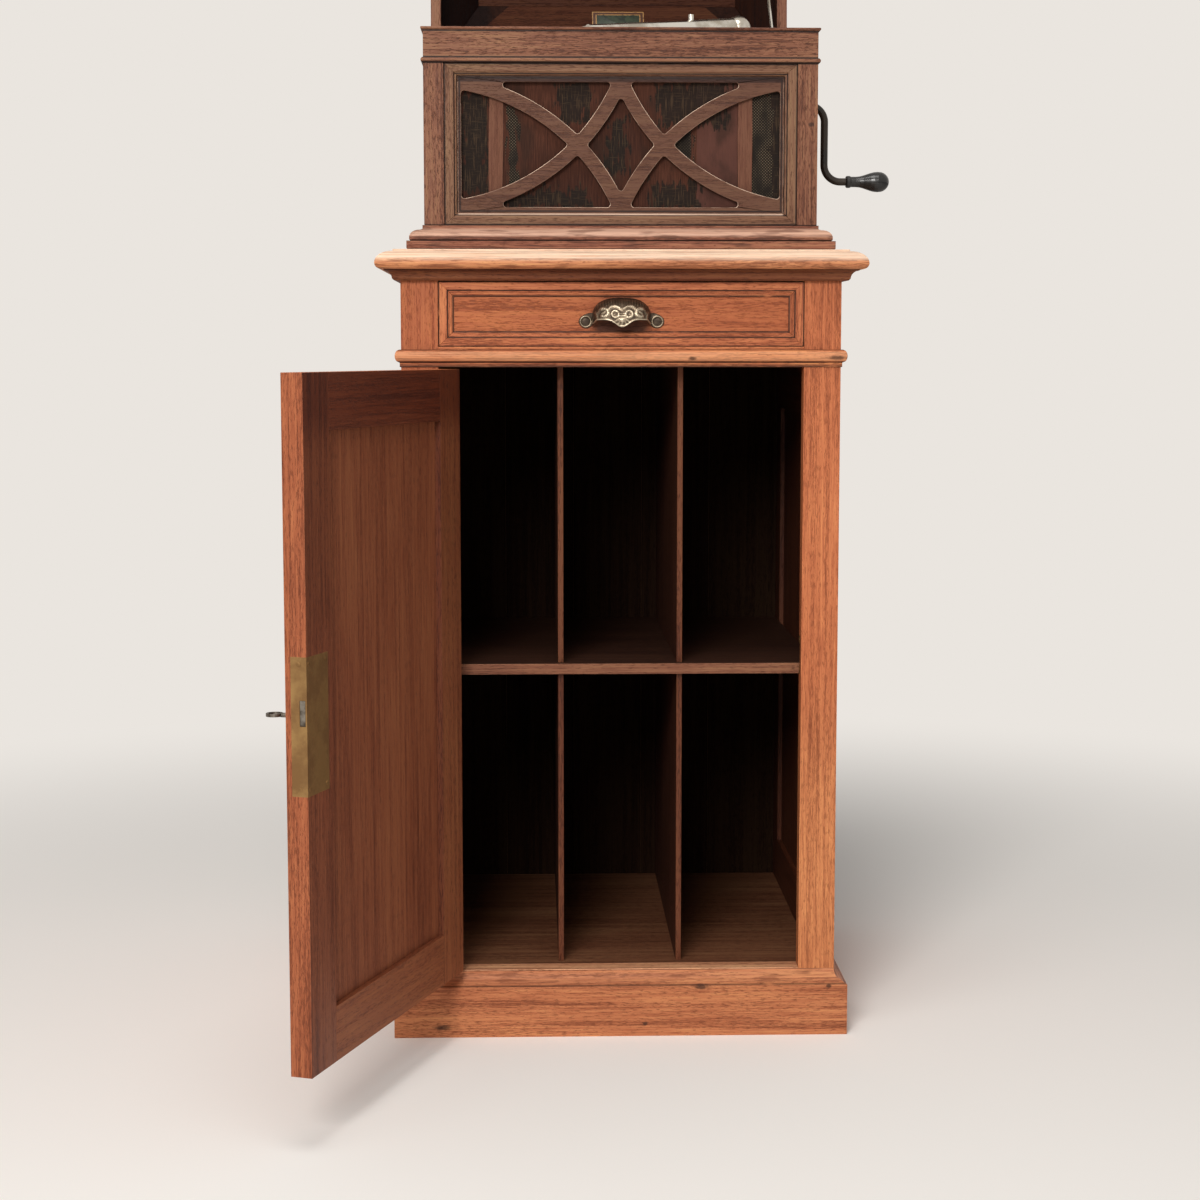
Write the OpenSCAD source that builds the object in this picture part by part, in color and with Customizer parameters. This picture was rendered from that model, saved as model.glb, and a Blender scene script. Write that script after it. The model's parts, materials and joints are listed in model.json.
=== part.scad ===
// Table gramophone standing on its oak record cabinet.
// Millimetres. X to the right, Y away from the front, Z up.
// Origin: on the floor, at the middle of the width, in the plane of the cabinet's front.
// The door and the lid are drawn open, the drawer closed and the winding crank hanging down.

/* [Cabinet] */
// Width of the cabinet, without mouldings
cab_w = 500; // [480:1:540]
// Depth of the cabinet, without mouldings
cab_d = 495; // [470:1:530]
// Thickness of the side boards
side_t = 20; // [16:1:24]
// Width of the front stiles
stile_w = 42; // [36:1:50]
// Thickness of the front stiles and rails
front_t = 22; // [20:0.5:26]
// Height of the door opening
door_open_h = 700.5; // [660:0.5:740]
// Height of the rail between the door and the drawer
rail_h = 23; // [22:0.5:28]
// Height of the drawer opening
drawer_open_h = 74.1; // [72:0.1:90]
// Height of the rail over the drawer
top_rail_h = 12.6; // [12.6:0.1:20]
// Thickness of the back boards
back_t = 10; // [6:1:14]
// Number of back boards
back_boards_n = 5; // [3:1:8]
// Width of the stiles and of the top rail in the cabinet's sides
side_stile_w = 58; // [40:1:80]
// Thickness of the panels in the door and in the cabinet's sides
panel_t = 9; // [6:0.5:11]
// Depth of the grooves that hold the panels
groove = 8; // [5:0.5:10]

/* [Plinth] */
// Height of the plinth
plinth_h = 75.8; // [60:0.1:90]
// How far the plinth stands out
plinth_out = 14.3; // [12:0.1:20]
// Height of the moulded top of the plinth
plinth_mould_h = 17; // [14:0.5:24]

/* [Compartments] */
// Thickness of the bottom board
bottom_t = 18; // [12:1:22]
// Height of the lower compartments
lower_h = 344.6; // [310:0.1:360]
// Thickness of the shelf
shelf_t = 12.3; // [9:0.1:18]
// How far the shelf stays back from the cabinet's front
shelf_back = 25; // [24.5:0.5:40]
// Thickness of the dividers
divider_t = 6.4; // [4:0.1:10]
// How far the dividers stay back from the cabinet's front
divider_back = 36; // [30:1:60]
// Distance between the middles of the two rows of dividers
divider_pitch = 138.6; // [120:0.1:150]
// Thickness of the dust board over the compartments
dust_t = 6; // [4:0.5:8]

/* [Mouldings] */
// How far the waist moulding stands out
waist_out = 6.9; // [5:0.1:12]
// Height of the waist moulding
waist_h = 19.7; // [16:0.1:22]
// Height of the cove moulding under the top
cove_h = 12.3; // [10:0.1:12.4]
// How far the cove moulding stands out
cove_out = 18; // [14:0.5:22]

/* [Top] */
// Thickness of the top
slab_t = 22.5; // [18:0.5:30]
// How far the top stands out at the front and sides
slab_out = 27.5; // [24:0.5:36]

/* [Drawer] */
// Gap round the drawer front
drawer_gap = 0.7; // [0.4:0.1:1.5]
// Gap between the drawer and its runners
runner_gap = 0.3; // [0.3:0.1:0.6]
// Thickness of the drawer front without its border
drawer_front_t = 15; // [12:0.5:20]
// Thickness of the mitred border on the drawer front
border_t = 5; // [4:0.5:7]
// Width of the flat face of the mitred border
border_w = 10.2; // [8:0.1:11.4]
// Width of the stepped moulding inside the border
step_w = 7; // [5:0.5:8]
// Thickness of the drawer sides
drawer_side_t = 10; // [8:1:14]
// Thickness of the drawer bottom
drawer_bottom_t = 5; // [4:0.5:8]
// Depth of the drawer behind its front
drawer_l = 430; // [300:1:440]
// Distance between the screws of the cup pull
pull_pitch = 81.5; // [76:0.5:90]
// Radius of the cup of the pull
pull_r = 27.5; // [24:0.5:30]
// Thickness of the pull's metal
pull_wall = 2.2; // [1.6:0.1:3]

/* [Door] */
// Thickness of the door
door_t = 23; // [20:0.5:24]
// Gap at each side of the door
door_gap = 1.5; // [1:0.1:3]
// Gap over and under the door
door_gap_v = 2.2; // [1:0.1:3]
// Width of the door's stiles
door_stile_w = 59.5; // [50:0.5:70]
// Height of the door's rails
door_rail_h = 57; // [45:0.5:75]
// Angle at which the door stands open
door_open = 109.5; // [0:0.5:170]
// Depth of the panel's face behind the inner face of the door
panel_in = 6.5; // [4:0.5:8]

/* [Hinges] */
// Radius of the door hinges' knuckles
knuckle_r = 4; // [3.5:0.1:4.5]
// Length of the door hinges
hinge_l = 64; // [50:1:90]
// How far the door's pins stand in front of the cabinet
pin_out = 2.3; // [2:0.1:3]
// Height of the hinge centres from the ends of the door opening
hinge_in = 110; // [60:5:160]
// Thickness of the hinge leaves
leaf_t = 1.5; // [1.2:0.1:2]
// Radial play of pins and shafts
fit = 0.05; // [0.02:0.01:0.09]

/* [Lock] */
// Height of the key's axis over the door's lower end
key_z = 359; // [300:1:420]
// Distance of the key's axis from the door's edge
backset = 25; // [22:0.5:30]
// Height of the lock's brass plates
lock_h = 138; // [120:1:160]
// Width of the lock's back plate
lock_w = 50; // [46:1:58]
// Thickness of the lock's brass plates
lock_plate_t = 1.6; // [1.2:0.1:2]
// Height of the bolt's head
bolt_h = 25; // [18:0.5:28]
// Thickness of the bolt
bolt_t = 5.6; // [4:0.1:6]
// How far the bolt is thrown
bolt_throw = 8; // [6:0.5:9]
// Radius of the key's shank
shank_r = 2.4; // [2:0.1:3]

/* [Gramophone case] */
// Width of the gramophone's case
gram_w = 447; // [430:1:460]
// Depth of the gramophone's case
gram_d = 390; // [376:1:400]
// How far the case stands back from the cabinet's front
gram_y = 22; // [20:1:40]
// Thickness of the base plate
plate_t = 9.8; // [7:0.1:14]
// How far the base plate stands out
plate_out = 19.5; // [18:0.5:24]
// Height of the base moulding
base_h = 18.2; // [16:0.1:24]
// How far the base moulding stands out
base_out = 16.5; // [15:0.5:17.5]
// Height of the corner posts
post_h = 181.5; // [178:0.5:200]
// Width of the corner posts
post_w = 22.7; // [20:0.1:26]
// Height of the bead over the posts
bead_h = 5.7; // [4:0.1:8]
// Height of the top band
band_h = 31; // [26:0.5:40]
// Thickness of the rim on the top band
rim_h = 2.8; // [2:0.1:4]
// How far the rim stands out
rim_out = 2.7; // [1.5:0.1:4]
// Thickness of the case's walls
wall_t = 14; // [11:0.5:16]
// Depth of the deck's upper face under the top of the posts
deck_down = 11; // [9:0.5:12]
// Thickness of the deck
deck_t = 10; // [8:0.5:10]

/* [Grille] */
// Width of the grille frame's stiles
grille_stile = 15; // [12:0.5:18]
// Height of the grille frame's rails
grille_rail = 13.4; // [11:0.1:16]
// Thickness of the grille frame
grille_t = 12; // [11:0.5:13]
// Thickness of the fret
fret_t = 5.5; // [4:0.5:6]
// Width of the border round the fret's cuts, at the sides
fret_side = 4.2; // [3:0.1:8]
// Width of the border round the fret's cuts, at the top and bottom
fret_top = 7; // [4:0.1:10]
// Width of the fret's curved bars
bar_w = 15.5; // [12:0.5:18]
// Radius of the fret's curved bars
bar_r = 239; // [225:1:255]
// Sideways place of the centre of a curved bar, from the grille's middle
bar_cx = 220; // [214:1:226]
// Height of the centre of a curved bar from the grille's middle
bar_cz = 167; // [160:1:172]
// Radius of the corners of the fret's cuts
fret_corner = 3.5; // [1:0.5:5]
// Width of the battens behind the fret
batten_w = 18.5; // [12:0.5:24]
// Distance between the middles of the battens
batten_pitch = 284; // [250:1:300]

/* [Lid] */
// How far the lid's sides and front stand out over the case
lid_out = 8; // [4:0.5:12]
// Thickness of the lid's frame
lid_wall = 13; // [10:0.5:14]
// Height of the lid's frame
lid_frame_h = 26; // [22:0.5:36]
// Width of the sloping boards at the front and back, in plan
slope_y = 97; // [80:1:110]
// Width of the sloping boards at the sides, in plan
slope_x = 60; // [45:1:80]
// Height of the sloping boards
slope_h = 70; // [62:1:90]
// Thickness of the sloping boards and the top panel, upright
lid_t = 9; // [6:0.5:12]
// Angle at which the lid stands open
lid_open = 94; // [60:1:100]
// Radius of the lid hinges' knuckles
lid_knuckle_r = 3.5; // [3:0.1:4.5]
// Length of the lid hinges
lid_hinge_l = 50; // [40:1:70]
// Distance between the middles of the lid hinges
lid_hinge_pitch = 290; // [200:5:340]
// Distance of the stay's pivot in front of the lid's hinge axis
stay_arm = 130; // [115:1:140]
// Width of the stay
stay_w = 12; // [10:0.5:14]
// Thickness of the stay
stay_t = 2; // [1.5:0.1:3]

/* [Turntable] */
// Radius of the turntable
table_r = 127; // [118:1:130]
// Height of the turntable's rim
table_h = 16; // [12:0.5:18]
// Gap between the turntable's rim and the deck
table_gap = 5; // [5:0.5:8]
// Thickness of the felt on the turntable
felt_t = 1.5; // [1:0.1:3]
// Radius of the spindle
spindle_r = 3.6; // [3:0.1:3.65]
// Height of the spindle over the felt
spindle_up = 9; // [8:0.5:14]
// Sideways place of the spindle
spindle_x = -35; // [-45:1:-25]
// Place of the spindle behind the case's front
spindle_in = 156; // [152:1:160]

/* [Motor] */
// Height of the motor between its plates
motor_h = 76; // [70:1:80]
// Thickness of the motor's plates
motor_plate_t = 4; // [3:0.5:5]
// Gap between the deck and the motor's upper plate
hanger_h = 6; // [5:0.5:8]
// Teeth of the spring barrel's wheel
barrel_teeth = 60; // [54:2:64]
// Teeth of the pinion on the spindle
pinion_teeth = 12; // [12:1:14]
// Module of the barrel's wheel and the pinion
barrel_m = 1.5; // [1.4:0.05:1.6]
// Teeth of the wheel that drives the governor
wheel_teeth = 48; // [44:2:52]
// Teeth of the governor's pinion
governor_teeth = 12; // [12:1:14]
// Module of the governor's gears
governor_m = 1; // [0.9:0.05:1.05]
// Radius of the spring barrel
barrel_r = 42; // [36:0.5:42]

/* [Crank] */
// Radius of the crank's rod
rod_r = 4.4; // [4:0.1:5]
// Length of the crank's arm
crank_arm_l = 90.7; // [80:0.1:110]
// Radius of the crank's bends
crank_bend = 20; // [14:0.5:24]
// Distance of the crank's arm from the case
crank_out = 27.5; // [22:0.5:30]
// Depth of the crank's shaft under the deck's upper face
crank_drop = 19; // [17:0.5:24]
// Length of the crank's grip
grip_l = 52.4; // [45:0.1:60]
// Radius of the thick end of the grip
grip_r = 12.1; // [10:0.1:14]

/* [Tonearm] */
// Sideways place of the tonearm's pivot
arm_x = 160; // [150:1:164]
// Place of the tonearm's pivot in front of the case's back
arm_in = 77; // [74:1:84]
// Length of the tonearm
arm_l = 200; // [190:1:206]
// Direction of the tonearm at rest
arm_angle = 208; // [200:1:240]
// Height of the tonearm's middle over the deck, at its pivot
arm_up = 92; // [86:0.5:94]
// Slope of the tonearm, down towards the soundbox
arm_slope = 5; // [4:0.1:6]
// Radius of the soundbox
soundbox_r = 25; // [22:0.5:27]
// Thickness of the soundbox
soundbox_t = 14; // [10:0.5:16]
// Gap between the needle and the felt
needle_gap = 1.5; // [1:0.1:3]

/* [Hidden] */
$fn = 48;

eps = 0.01;               // overlap inside one solid
far = 3000;               // longer than anything here
play = 0.3;               // gap between faces that move past each other
seam = 0.1;               // gap at a mitre or between two boards
nose_turn = 80;           // half the angle of a rounded nose
oak = "peru";
dark_oak = "sienna";
brass = "darkgoldenrod";
nickel = "silver";
steel = "slategray";

// levels of the cabinet
runner_h = 9;
runner_w = 34;
z_floor_top = plinth_h + 1;
z_shelf = z_floor_top + lower_h;
z_door_top = z_floor_top + door_open_h;
z_drawer = z_door_top + rail_h;
z_drawer_top = z_drawer + drawer_open_h;
z_carcass = z_drawer_top + top_rail_h;
z_dust = z_drawer - runner_h - dust_t;
z_slab_top = z_carcass + slab_t;
open_x = cab_w / 2 - stile_w;
inner_x = cab_w / 2 - side_t;
back_y = cab_d - back_t;

// levels of the gramophone
z_plate = z_slab_top + plate_t;
z_post = z_plate + base_h;
z_bead = z_post + post_h;
z_band = z_bead + bead_h;
z_rim = z_band + band_h + rim_h;
z_deck = z_bead - deck_down;
case_x = gram_w / 2;
case_back = gram_y + gram_d;
wall_x = case_x - wall_t;
wall_in = 1.5;            // the walls stand back this far from the posts

// lid and its hinge
lid_gap = play;
lid_axis_y = case_back + lid_knuckle_r + play;
lid_axis_z = z_rim + lid_gap / 2;
lid_x = case_x + lid_out;
lid_back = -(lid_knuckle_r + play);
lid_front = gram_y - lid_out - lid_axis_y;
pin_ratio = 0.42;         // a hinge pin's radius as a share of its knuckle's
stay_up = 13;             // the stay's pivot over the hinge axis, with the lid shut
stay_down = 20;           // the stay's stud under the hinge axis
stay_reach = sqrt(pow(stay_arm, 2) + pow(stay_up, 2));
stud_y = -sqrt(pow(stay_reach, 2) - pow(stay_down, 2));
stay_x = wall_x - 4;      // outer face of the stay
stay_shut = 2 * stay_reach * sin((atan(stay_up / stay_arm) + asin(stay_down / stay_reach)) / 2);
stay_wide = 2 * stay_reach
    * sin((lid_open + atan(stay_up / stay_arm) + asin(stay_down / stay_reach)) / 2);
stud_r = 2.5;
// direction of the stay with the lid shut, from straight down towards the front
stay_lean = (atan(stay_up / stay_arm) - asin(stay_down / stay_reach)) / 2;

// door and its hinge
pin_x = -open_x + door_gap / 2;
door_w = 2 * open_x - 2 * door_gap;
door_h = door_open_h - 2 * door_gap_v;
door_x = open_x - door_gap;
z_door = z_floor_top + door_gap_v;
leaf_w = 18;
hinge_segments = 5;
hinge_z = [z_floor_top + hinge_in - hinge_l / 2, z_door_top - hinge_in - hinge_l / 2];

// lock
z_key = z_door + key_z;
key_x = door_x - backset;
lock_z = z_key - lock_h / 2 - 7;
lock_edge_w = 17;
bolt_back = door_t - lock_plate_t - play;
bolt_z = z_key - 6;
bit_r = 9;
lock_case_t = 11;
lock_case_h = 102;
keyhole_r = 3.2;

// drawer
drawer_z = z_drawer + runner_gap;
drawer_x = open_x - drawer_gap;
drawer_h = drawer_open_h - runner_gap - drawer_gap;
drawer_bottom_up = 5;
drawer_back_h = drawer_h - 14;
pull_z = drawer_z + drawer_h - border_w - step_w - pull_r - play;   // just under the border
ear_r = 8;
cup_in = 6.3;             // the cup's ends stand in from its screws
screw_r = 1.9;
screw_l = 12;

// motor
spindle_y = gram_y + spindle_in;
z_motor_top = z_deck - deck_t - hanger_h - motor_plate_t;
z_motor_low = z_motor_top - motor_h;
barrel_x = spindle_x + (barrel_teeth + pinion_teeth) * barrel_m / 2;
governor_x = spindle_x - (wheel_teeth + governor_teeth) * governor_m / 2;
z_gear = z_motor_low + 41;
gear_t = 4;
undercut = 30;            // how much the pinions' roots are cut away, in degrees shared by their teeth
z_wheel = z_motor_low + 53;
z_felt = z_deck + table_gap + table_h;
arbor_r = 4;
governor_r = 2;
z_crank = z_deck - crank_drop;
crank_y = spindle_y;
motor_x0 = governor_x - 22;
motor_x1 = barrel_x + 50;
bearing_t = 12;
motor_half = 52;          // half the depth of the motor's plates
pillar_in = 6;            // the pillars stand in from the plates' edges
pillar_r = 4;

// crank and grip
grip_x = case_x + crank_out + 26.5;
grip_rod_r = 3;

// tonearm
arm_y = case_back - arm_in;
z_arm = z_deck + arm_up;
arm_r = 14;
arm_tip_r = 10;
throat_r = 12;
throat_t = 3;
arm_flange_r = 27;
arm_collar_r = 22;
arm_collar_h = 7;
throat_down = 24;         // the throat ends this far under the tonearm's middle
soundbox_off = 22;
z_soundbox = z_felt + felt_t + needle_gap + soundbox_r + 9.5;
z_arm_end = z_arm - arm_l * tan(arm_slope);
neck_r = arm_tip_r - 2.6;
neck_tilt = 90 + atan((z_arm_end - z_soundbox) / (soundbox_off - soundbox_t / 2 + 4));

// brake and speed control
brake_x = 112;
brake_y = gram_y + 44;
knob_x = spindle_x - 130;
knob_y = gram_y + 36;

// ---- helpers ----

// a box between two opposite corners
module block(a, b) { translate(a) cube(b - a); }

// points of an elliptic arc round c, from angle a0 to a1
function arc(c, rx, ry, a0, a1, n = 8) =
    [for (i = [0:n]) let (a = a0 + (a1 - a0) * i / n) [c[0] + rx * cos(a), c[1] + ry * sin(a)]];

// points of a closed oval round the origin
function oval(rx, ry, n = 24) = [for (i = [0:n - 1]) [rx * cos(360 * i / n), ry * sin(360 * i / n)]];

// plan of one mitred run, from the box's edge line outwards by reach and inwards by inner
function mitre_plan(w, reach, inner, k) = [[-w / 2 - k * reach, -reach], [w / 2 + k * reach, -reach],
    [w / 2 - k * inner, inner], [-w / 2 + k * inner, inner]];

// width of a run that leaves a seam at its mitres
function seamed(w) = w - sqrt(2) * seam;

// one mitred run along X, its outward side towards -Y; profile points are [outward, height]
module run(profile, w, reach, inner, k = 1) {
    intersection() {
        translate([-w / 2 - 2 * reach, 0, 0]) rotate([90, 0, 90])
            linear_extrude(w + 4 * reach) mirror([1, 0, 0]) polygon(profile);
        translate([0, 0, -far / 2]) linear_extrude(far) polygon(mitre_plan(w, reach, inner, k));
    }
}

// four mitred pieces round a box of width w and depth d, whose front is at Y = 0
module ring(profile, w, d, reach, inner) {
    run(profile, seamed(w), reach, inner);
    translate([0, d, 0]) rotate([0, 0, 180]) run(profile, seamed(w), reach, inner);
    for (s = [-1, 1]) translate([s * w / 2, d / 2, 0]) rotate([0, 0, s * 90])
        run(profile, seamed(d), reach, inner);
}

// three mitred pieces round the front and the sides, cut square at the back
module front_ring(profile, w, d, reach, inner) {
    run(profile, seamed(w), reach, inner);
    intersection() {
        for (s = [-1, 1]) translate([s * w / 2, d, 0])
            rotate([0, 0, s * 90]) run(profile, seamed(2 * d), reach, inner);
        block([-far, -far, -far], [far, d, far]);
    }
}

// two stiles of a framed panel of width w and height h, grooved for the panel
module panel_stiles(w, h, t, stile, low, high, pt, panel_y) {
    for (s = [0, 1]) mirror([s, 0, 0]) difference() {
        block([w / 2 - stile, 0, 0], [w / 2, t, h]);
        block([w / 2 - stile - eps, panel_y, low - groove],
              [w / 2 - stile + groove, panel_y + pt, h - high + groove]);
    }
}

// two rails of a framed panel, grooved for the panel
module panel_rails(w, h, t, stile, low, high, pt, panel_y) {
    difference() {
        block([-w / 2 + stile, 0, 0], [w / 2 - stile, t, low]);
        block([-w / 2, panel_y, low - groove], [w / 2, panel_y + pt, low + eps]);
    }
    difference() {
        block([-w / 2 + stile, 0, h - high], [w / 2 - stile, t, h]);
        block([-w / 2, panel_y, h - high - eps], [w / 2, panel_y + pt, h - high + groove]);
    }
}

// the panel itself, up to the bottoms of its grooves
module panel_board(w, h, stile, low, high, pt, panel_y) {
    block([-w / 2 + stile - groove, panel_y, low - groove],
          [w / 2 - stile + groove, panel_y + pt, h - high + groove]);
}

// half of a butt hinge, pin along Z at the origin; the leaf lies from x = off, along +Y
module hinge_half(l, r, off, w, moving) {
    seg = l / hinge_segments;
    for (i = [0:hinge_segments - 1]) if ((i % 2 == 1) == moving)
        difference() {
            union() {
                translate([0, 0, i * seg + play / 2]) cylinder(r = r, h = seg - play);
                block([off, 0, i * seg + play / 2], [off + leaf_t, r + 0.5, (i + 1) * seg - play / 2]);
            }
            if (moving) translate([0, 0, -eps]) cylinder(r = r * pin_ratio + fit, h = l + 2 * eps);
        }
    block([off, r + 0.4, 0], [off + leaf_t, w, l]);
    if (!moving) cylinder(r = r * pin_ratio, h = l);
}

// room for a hinge's knuckles
module hinge_room(l, r) { translate([0, 0, -play]) cylinder(r = r + 0.5, h = l + 2 * play); }

function polar(r, a) = [r * cos(a), r * sin(a)];
function involute(r, rb) = r <= rb ? 0 : let (t = sqrt(pow(r / rb, 2) - 1)) t * 180 / PI - atan(t);

// spur gear with involute teeth, one tooth at angle 0
module gear(n, m, t) {
    rp = n * m / 2;
    rb = rp * cos(20);
    root = rp - 1.1 * m;
    tip = rp + 0.75 * m;
    start = max(rb, root + 0.1 * m);
    radii = concat([root], [for (k = [0:3]) start + (tip - start) * k / 3]);
    slack = 0.08 * 180 / PI / rp;
    half = [for (r = radii)
        90 / n - slack + involute(rp, rb) - involute(r, rb) - (r < rb ? undercut / n : 0)];
    linear_extrude(t) polygon([for (i = [0:n - 1], s = [-1, 1], k = [0:4])
        let (j = s < 0 ? k : 4 - k) polar(radii[j], i * 360 / n + s * half[j])]);
}

// puts what is drawn for the closed door where the open door is
module door_place() {
    translate([pin_x, -pin_out, 0]) rotate([0, 0, -door_open]) translate([-pin_x, pin_out, 0]) children();
}

// puts what is drawn round the lid's hinge axis, lid shut, where the open lid is
module lid_place(open = lid_open) {
    translate([0, lid_axis_y, lid_axis_z]) rotate([-open, 0, 0]) children();
}

// ---- cabinet ----

plinth_profile = concat([[0, 0], [plinth_out, 0], [plinth_out, plinth_h - plinth_mould_h]],
    arc([plinth_out - 8.3, plinth_h], plinth_out - 8.3, 11, 270, 180, 5));

module plinth() {
    color(oak) front_ring(plinth_profile, cab_w, cab_d, plinth_out, 0);
}

// one side of the cabinet: two stiles, two rails and a panel
module side_board() {
    w = cab_d - front_t;
    low = plinth_h + side_stile_w;
    high = z_carcass - z_door_top + side_stile_w;
    translate([cab_w / 2, front_t + w / 2, 0]) rotate([0, 0, 90]) {
        panel_stiles(w, z_carcass, side_t, side_stile_w, low, high, panel_t, side_t / 2 - panel_t / 2);
        panel_rails(w, z_carcass, side_t, side_stile_w, low, high, panel_t, side_t / 2 - panel_t / 2);
        panel_board(w, z_carcass, side_stile_w, low, high, panel_t, side_t / 2 - panel_t / 2);
    }
}

module side_right() { color(oak) side_board(); }
module side_left() { color(oak) mirror([1, 0, 0]) side_board(); }

module front_stiles() {
    color(oak) {
        difference() {
            block([-cab_w / 2, 0, 0], [-open_x, front_t, z_carcass]);
            for (z = hinge_z) {
                translate([pin_x, -pin_out, z]) hinge_room(hinge_l, knuckle_r);
                block([-open_x - leaf_t, -eps, z], [-open_x + eps, leaf_w - pin_out, z + hinge_l]);
            }
        }
        difference() {
            block([open_x, 0, 0], [cab_w / 2, front_t, z_carcass]);
            strike_room(0);
            bolt_pocket();
        }
    }
}

// the bolt's pocket in the right stile
module bolt_pocket() {
    block([open_x - eps, bolt_back - bolt_t - play, bolt_z - play],
          [open_x + bolt_throw + 2, front_t + eps, bolt_z + bolt_h + play]);
}

module strike_room(grow) {
    block([open_x - eps, bolt_back - bolt_t - 4, bolt_z - 10],
          [open_x + lock_plate_t, front_t + grow, bolt_z + bolt_h + 10]);
}

module strike_plate() {
    color(brass) difference() {
        block([open_x, bolt_back - bolt_t - 4, bolt_z - 10],
              [open_x + lock_plate_t, front_t, bolt_z + bolt_h + 10]);
        bolt_pocket();
    }
}

module front_rails() {
    color(oak) {
        block([-open_x, 0, z_door_top], [open_x, front_t, z_drawer]);
        block([-open_x, 0, z_drawer_top], [open_x, front_t, z_carcass]);
    }
}

waist_nose = waist_h - 6;
waist_profile = concat([[0, 0], [1.5, 0], [1.5, 5], [3, 5.6]],
    arc([2.5, 5.6 + waist_nose / 2], waist_out - 2.5, waist_nose / 2, -nose_turn, nose_turn, 8),
    [[2, waist_h], [0, waist_h]]);

module waist_moulding() {
    color(oak) translate([0, 0, z_door_top]) front_ring(waist_profile, cab_w, cab_d, waist_out, 0);
}

module bottom_board() {
    color(oak) {
        block([-open_x, 0, z_floor_top - bottom_t], [open_x, front_t, z_floor_top]);
        block([-inner_x, front_t, z_floor_top - bottom_t], [inner_x, back_y, z_floor_top]);
    }
}

module shelf() {
    color(dark_oak) block([-inner_x, shelf_back, z_shelf], [inner_x, back_y, z_shelf + shelf_t]);
}

module dividers() {
    color(dark_oak) for (s = [-1, 1], z = [[z_floor_top, z_shelf], [z_shelf + shelf_t, z_dust]])
        translate([s * divider_pitch / 2, 0, 0])
            block([-divider_t / 2, divider_back, z[0]], [divider_t / 2, back_y, z[1]]);
}

module back_boards() {
    step = 2 * inner_x / back_boards_n;
    color(dark_oak) for (i = [0:back_boards_n - 1])
        block([-inner_x + i * step, back_y, 20], [-inner_x + (i + 1) * step - seam, cab_d, z_carcass]);
}

module dust_board() {
    color(dark_oak) block([-inner_x, front_t, z_dust], [inner_x, back_y, z_dust + dust_t]);
}

// runners under the drawer, guides beside it and kickers over it
module drawer_runners() {
    color(oak) for (s = [0, 1]) mirror([s, 0, 0]) {
        block([inner_x - runner_w, front_t, z_drawer - runner_h], [inner_x, back_y, z_drawer]);
        block([open_x, front_t, z_drawer], [inner_x, back_y, z_drawer_top]);
        block([inner_x - runner_w, front_t, z_drawer_top], [inner_x, back_y, z_carcass]);
    }
}

slab_in = 30;              // width of the slab's moulded edge inside the cabinet's outline
slab_under = 6.5;          // radius of the edge's lower rounding
slab_over = 19.5;          // width of the edge's upper rounding
slab_profile = concat([[-slab_in, 0], [slab_out - slab_under, 0]],
    arc([slab_out - slab_under, slab_under], slab_under, slab_under, -70, 0, 4),
    arc([slab_out - slab_over, slab_under], slab_over, slab_t - slab_under - 2, 12, 90, 7),
    [[slab_out - slab_over, slab_t], [-slab_in, slab_t]]);

module top_slab() {
    color(oak) translate([0, 0, z_carcass]) {
        front_ring(slab_profile, cab_w, cab_d, slab_out, slab_in);
        block([-cab_w / 2 + slab_in + seam, slab_in + seam, 0],
              [cab_w / 2 - slab_in - seam, cab_d, slab_t]);
    }
}

cove_profile = concat([[0, 0], [7, 0], [8, 1]], arc([cove_out, 2], 9, 9, 180, 90, 6),
    [[cove_out, cove_h], [0, cove_h]]);

module cove_moulding() {
    color(oak) translate([0, 0, z_carcass - cove_h]) front_ring(cove_profile, cab_w, cab_d, cove_out, 0);
}

module door_hinge_fixed() {
    color(brass) for (z = hinge_z) translate([pin_x, -pin_out, z])
        mirror([1, 0, 0]) hinge_half(hinge_l, knuckle_r, door_gap / 2, leaf_w, false);
}

// ---- drawer ----

module drawer_front() {
    color(oak) difference() {
        block([-drawer_x, border_t, drawer_z], [drawer_x, border_t + drawer_front_t, drawer_z + drawer_h]);
        block([-drawer_x + 4, border_t + drawer_front_t - 5, drawer_z + drawer_bottom_up],
              [drawer_x - 4, far, drawer_z + drawer_bottom_up + drawer_bottom_t]);
        for (s = [-1, 1]) translate([s * pull_pitch / 2, 0, pull_z]) rotate([-90, 0, 0])
            cylinder(r = screw_r, h = border_t + screw_l);
    }
}

border_profile = [[0, 0], [0, border_t], [-border_w, border_t], [-border_w, border_t - 1.3],
    [-border_w - step_w * 0.3, border_t - 1.3], [-border_w - step_w * 0.3, border_t - 2.4],
    [-border_w - step_w * 0.65, border_t - 2.4], [-border_w - step_w * 0.65, border_t - 3.3],
    [-border_w - step_w, border_t - 3.6], [-border_w - step_w, 0]];

// mitred border of the drawer front, with a stepped moulding on its inner edge
module drawer_border() {
    color(oak) translate([0, border_t, drawer_z]) rotate([90, 0, 0])
        ring(border_profile, 2 * drawer_x, drawer_h, 1, border_w + step_w);
}

module drawer_box() {
    y0 = border_t + drawer_front_t;
    y1 = y0 + drawer_l;
    low = drawer_z + drawer_bottom_up;
    color(oak) {
        for (s = [0, 1]) mirror([s, 0, 0]) difference() {
            block([drawer_x - drawer_side_t, y0, drawer_z], [drawer_x, y1, drawer_z + drawer_back_h]);
            block([drawer_x - drawer_side_t - eps, y0 - eps, low],
                  [drawer_x - 4, y1 + eps, low + drawer_bottom_t]);
        }
        block([-drawer_x + drawer_side_t, y1 - drawer_side_t, low + drawer_bottom_t],
              [drawer_x - drawer_side_t, y1, drawer_z + drawer_back_h]);
        block([-drawer_x + 4, y0 - 5, low], [drawer_x - 4, y1, low + drawer_bottom_t]);
    }
}

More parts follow.
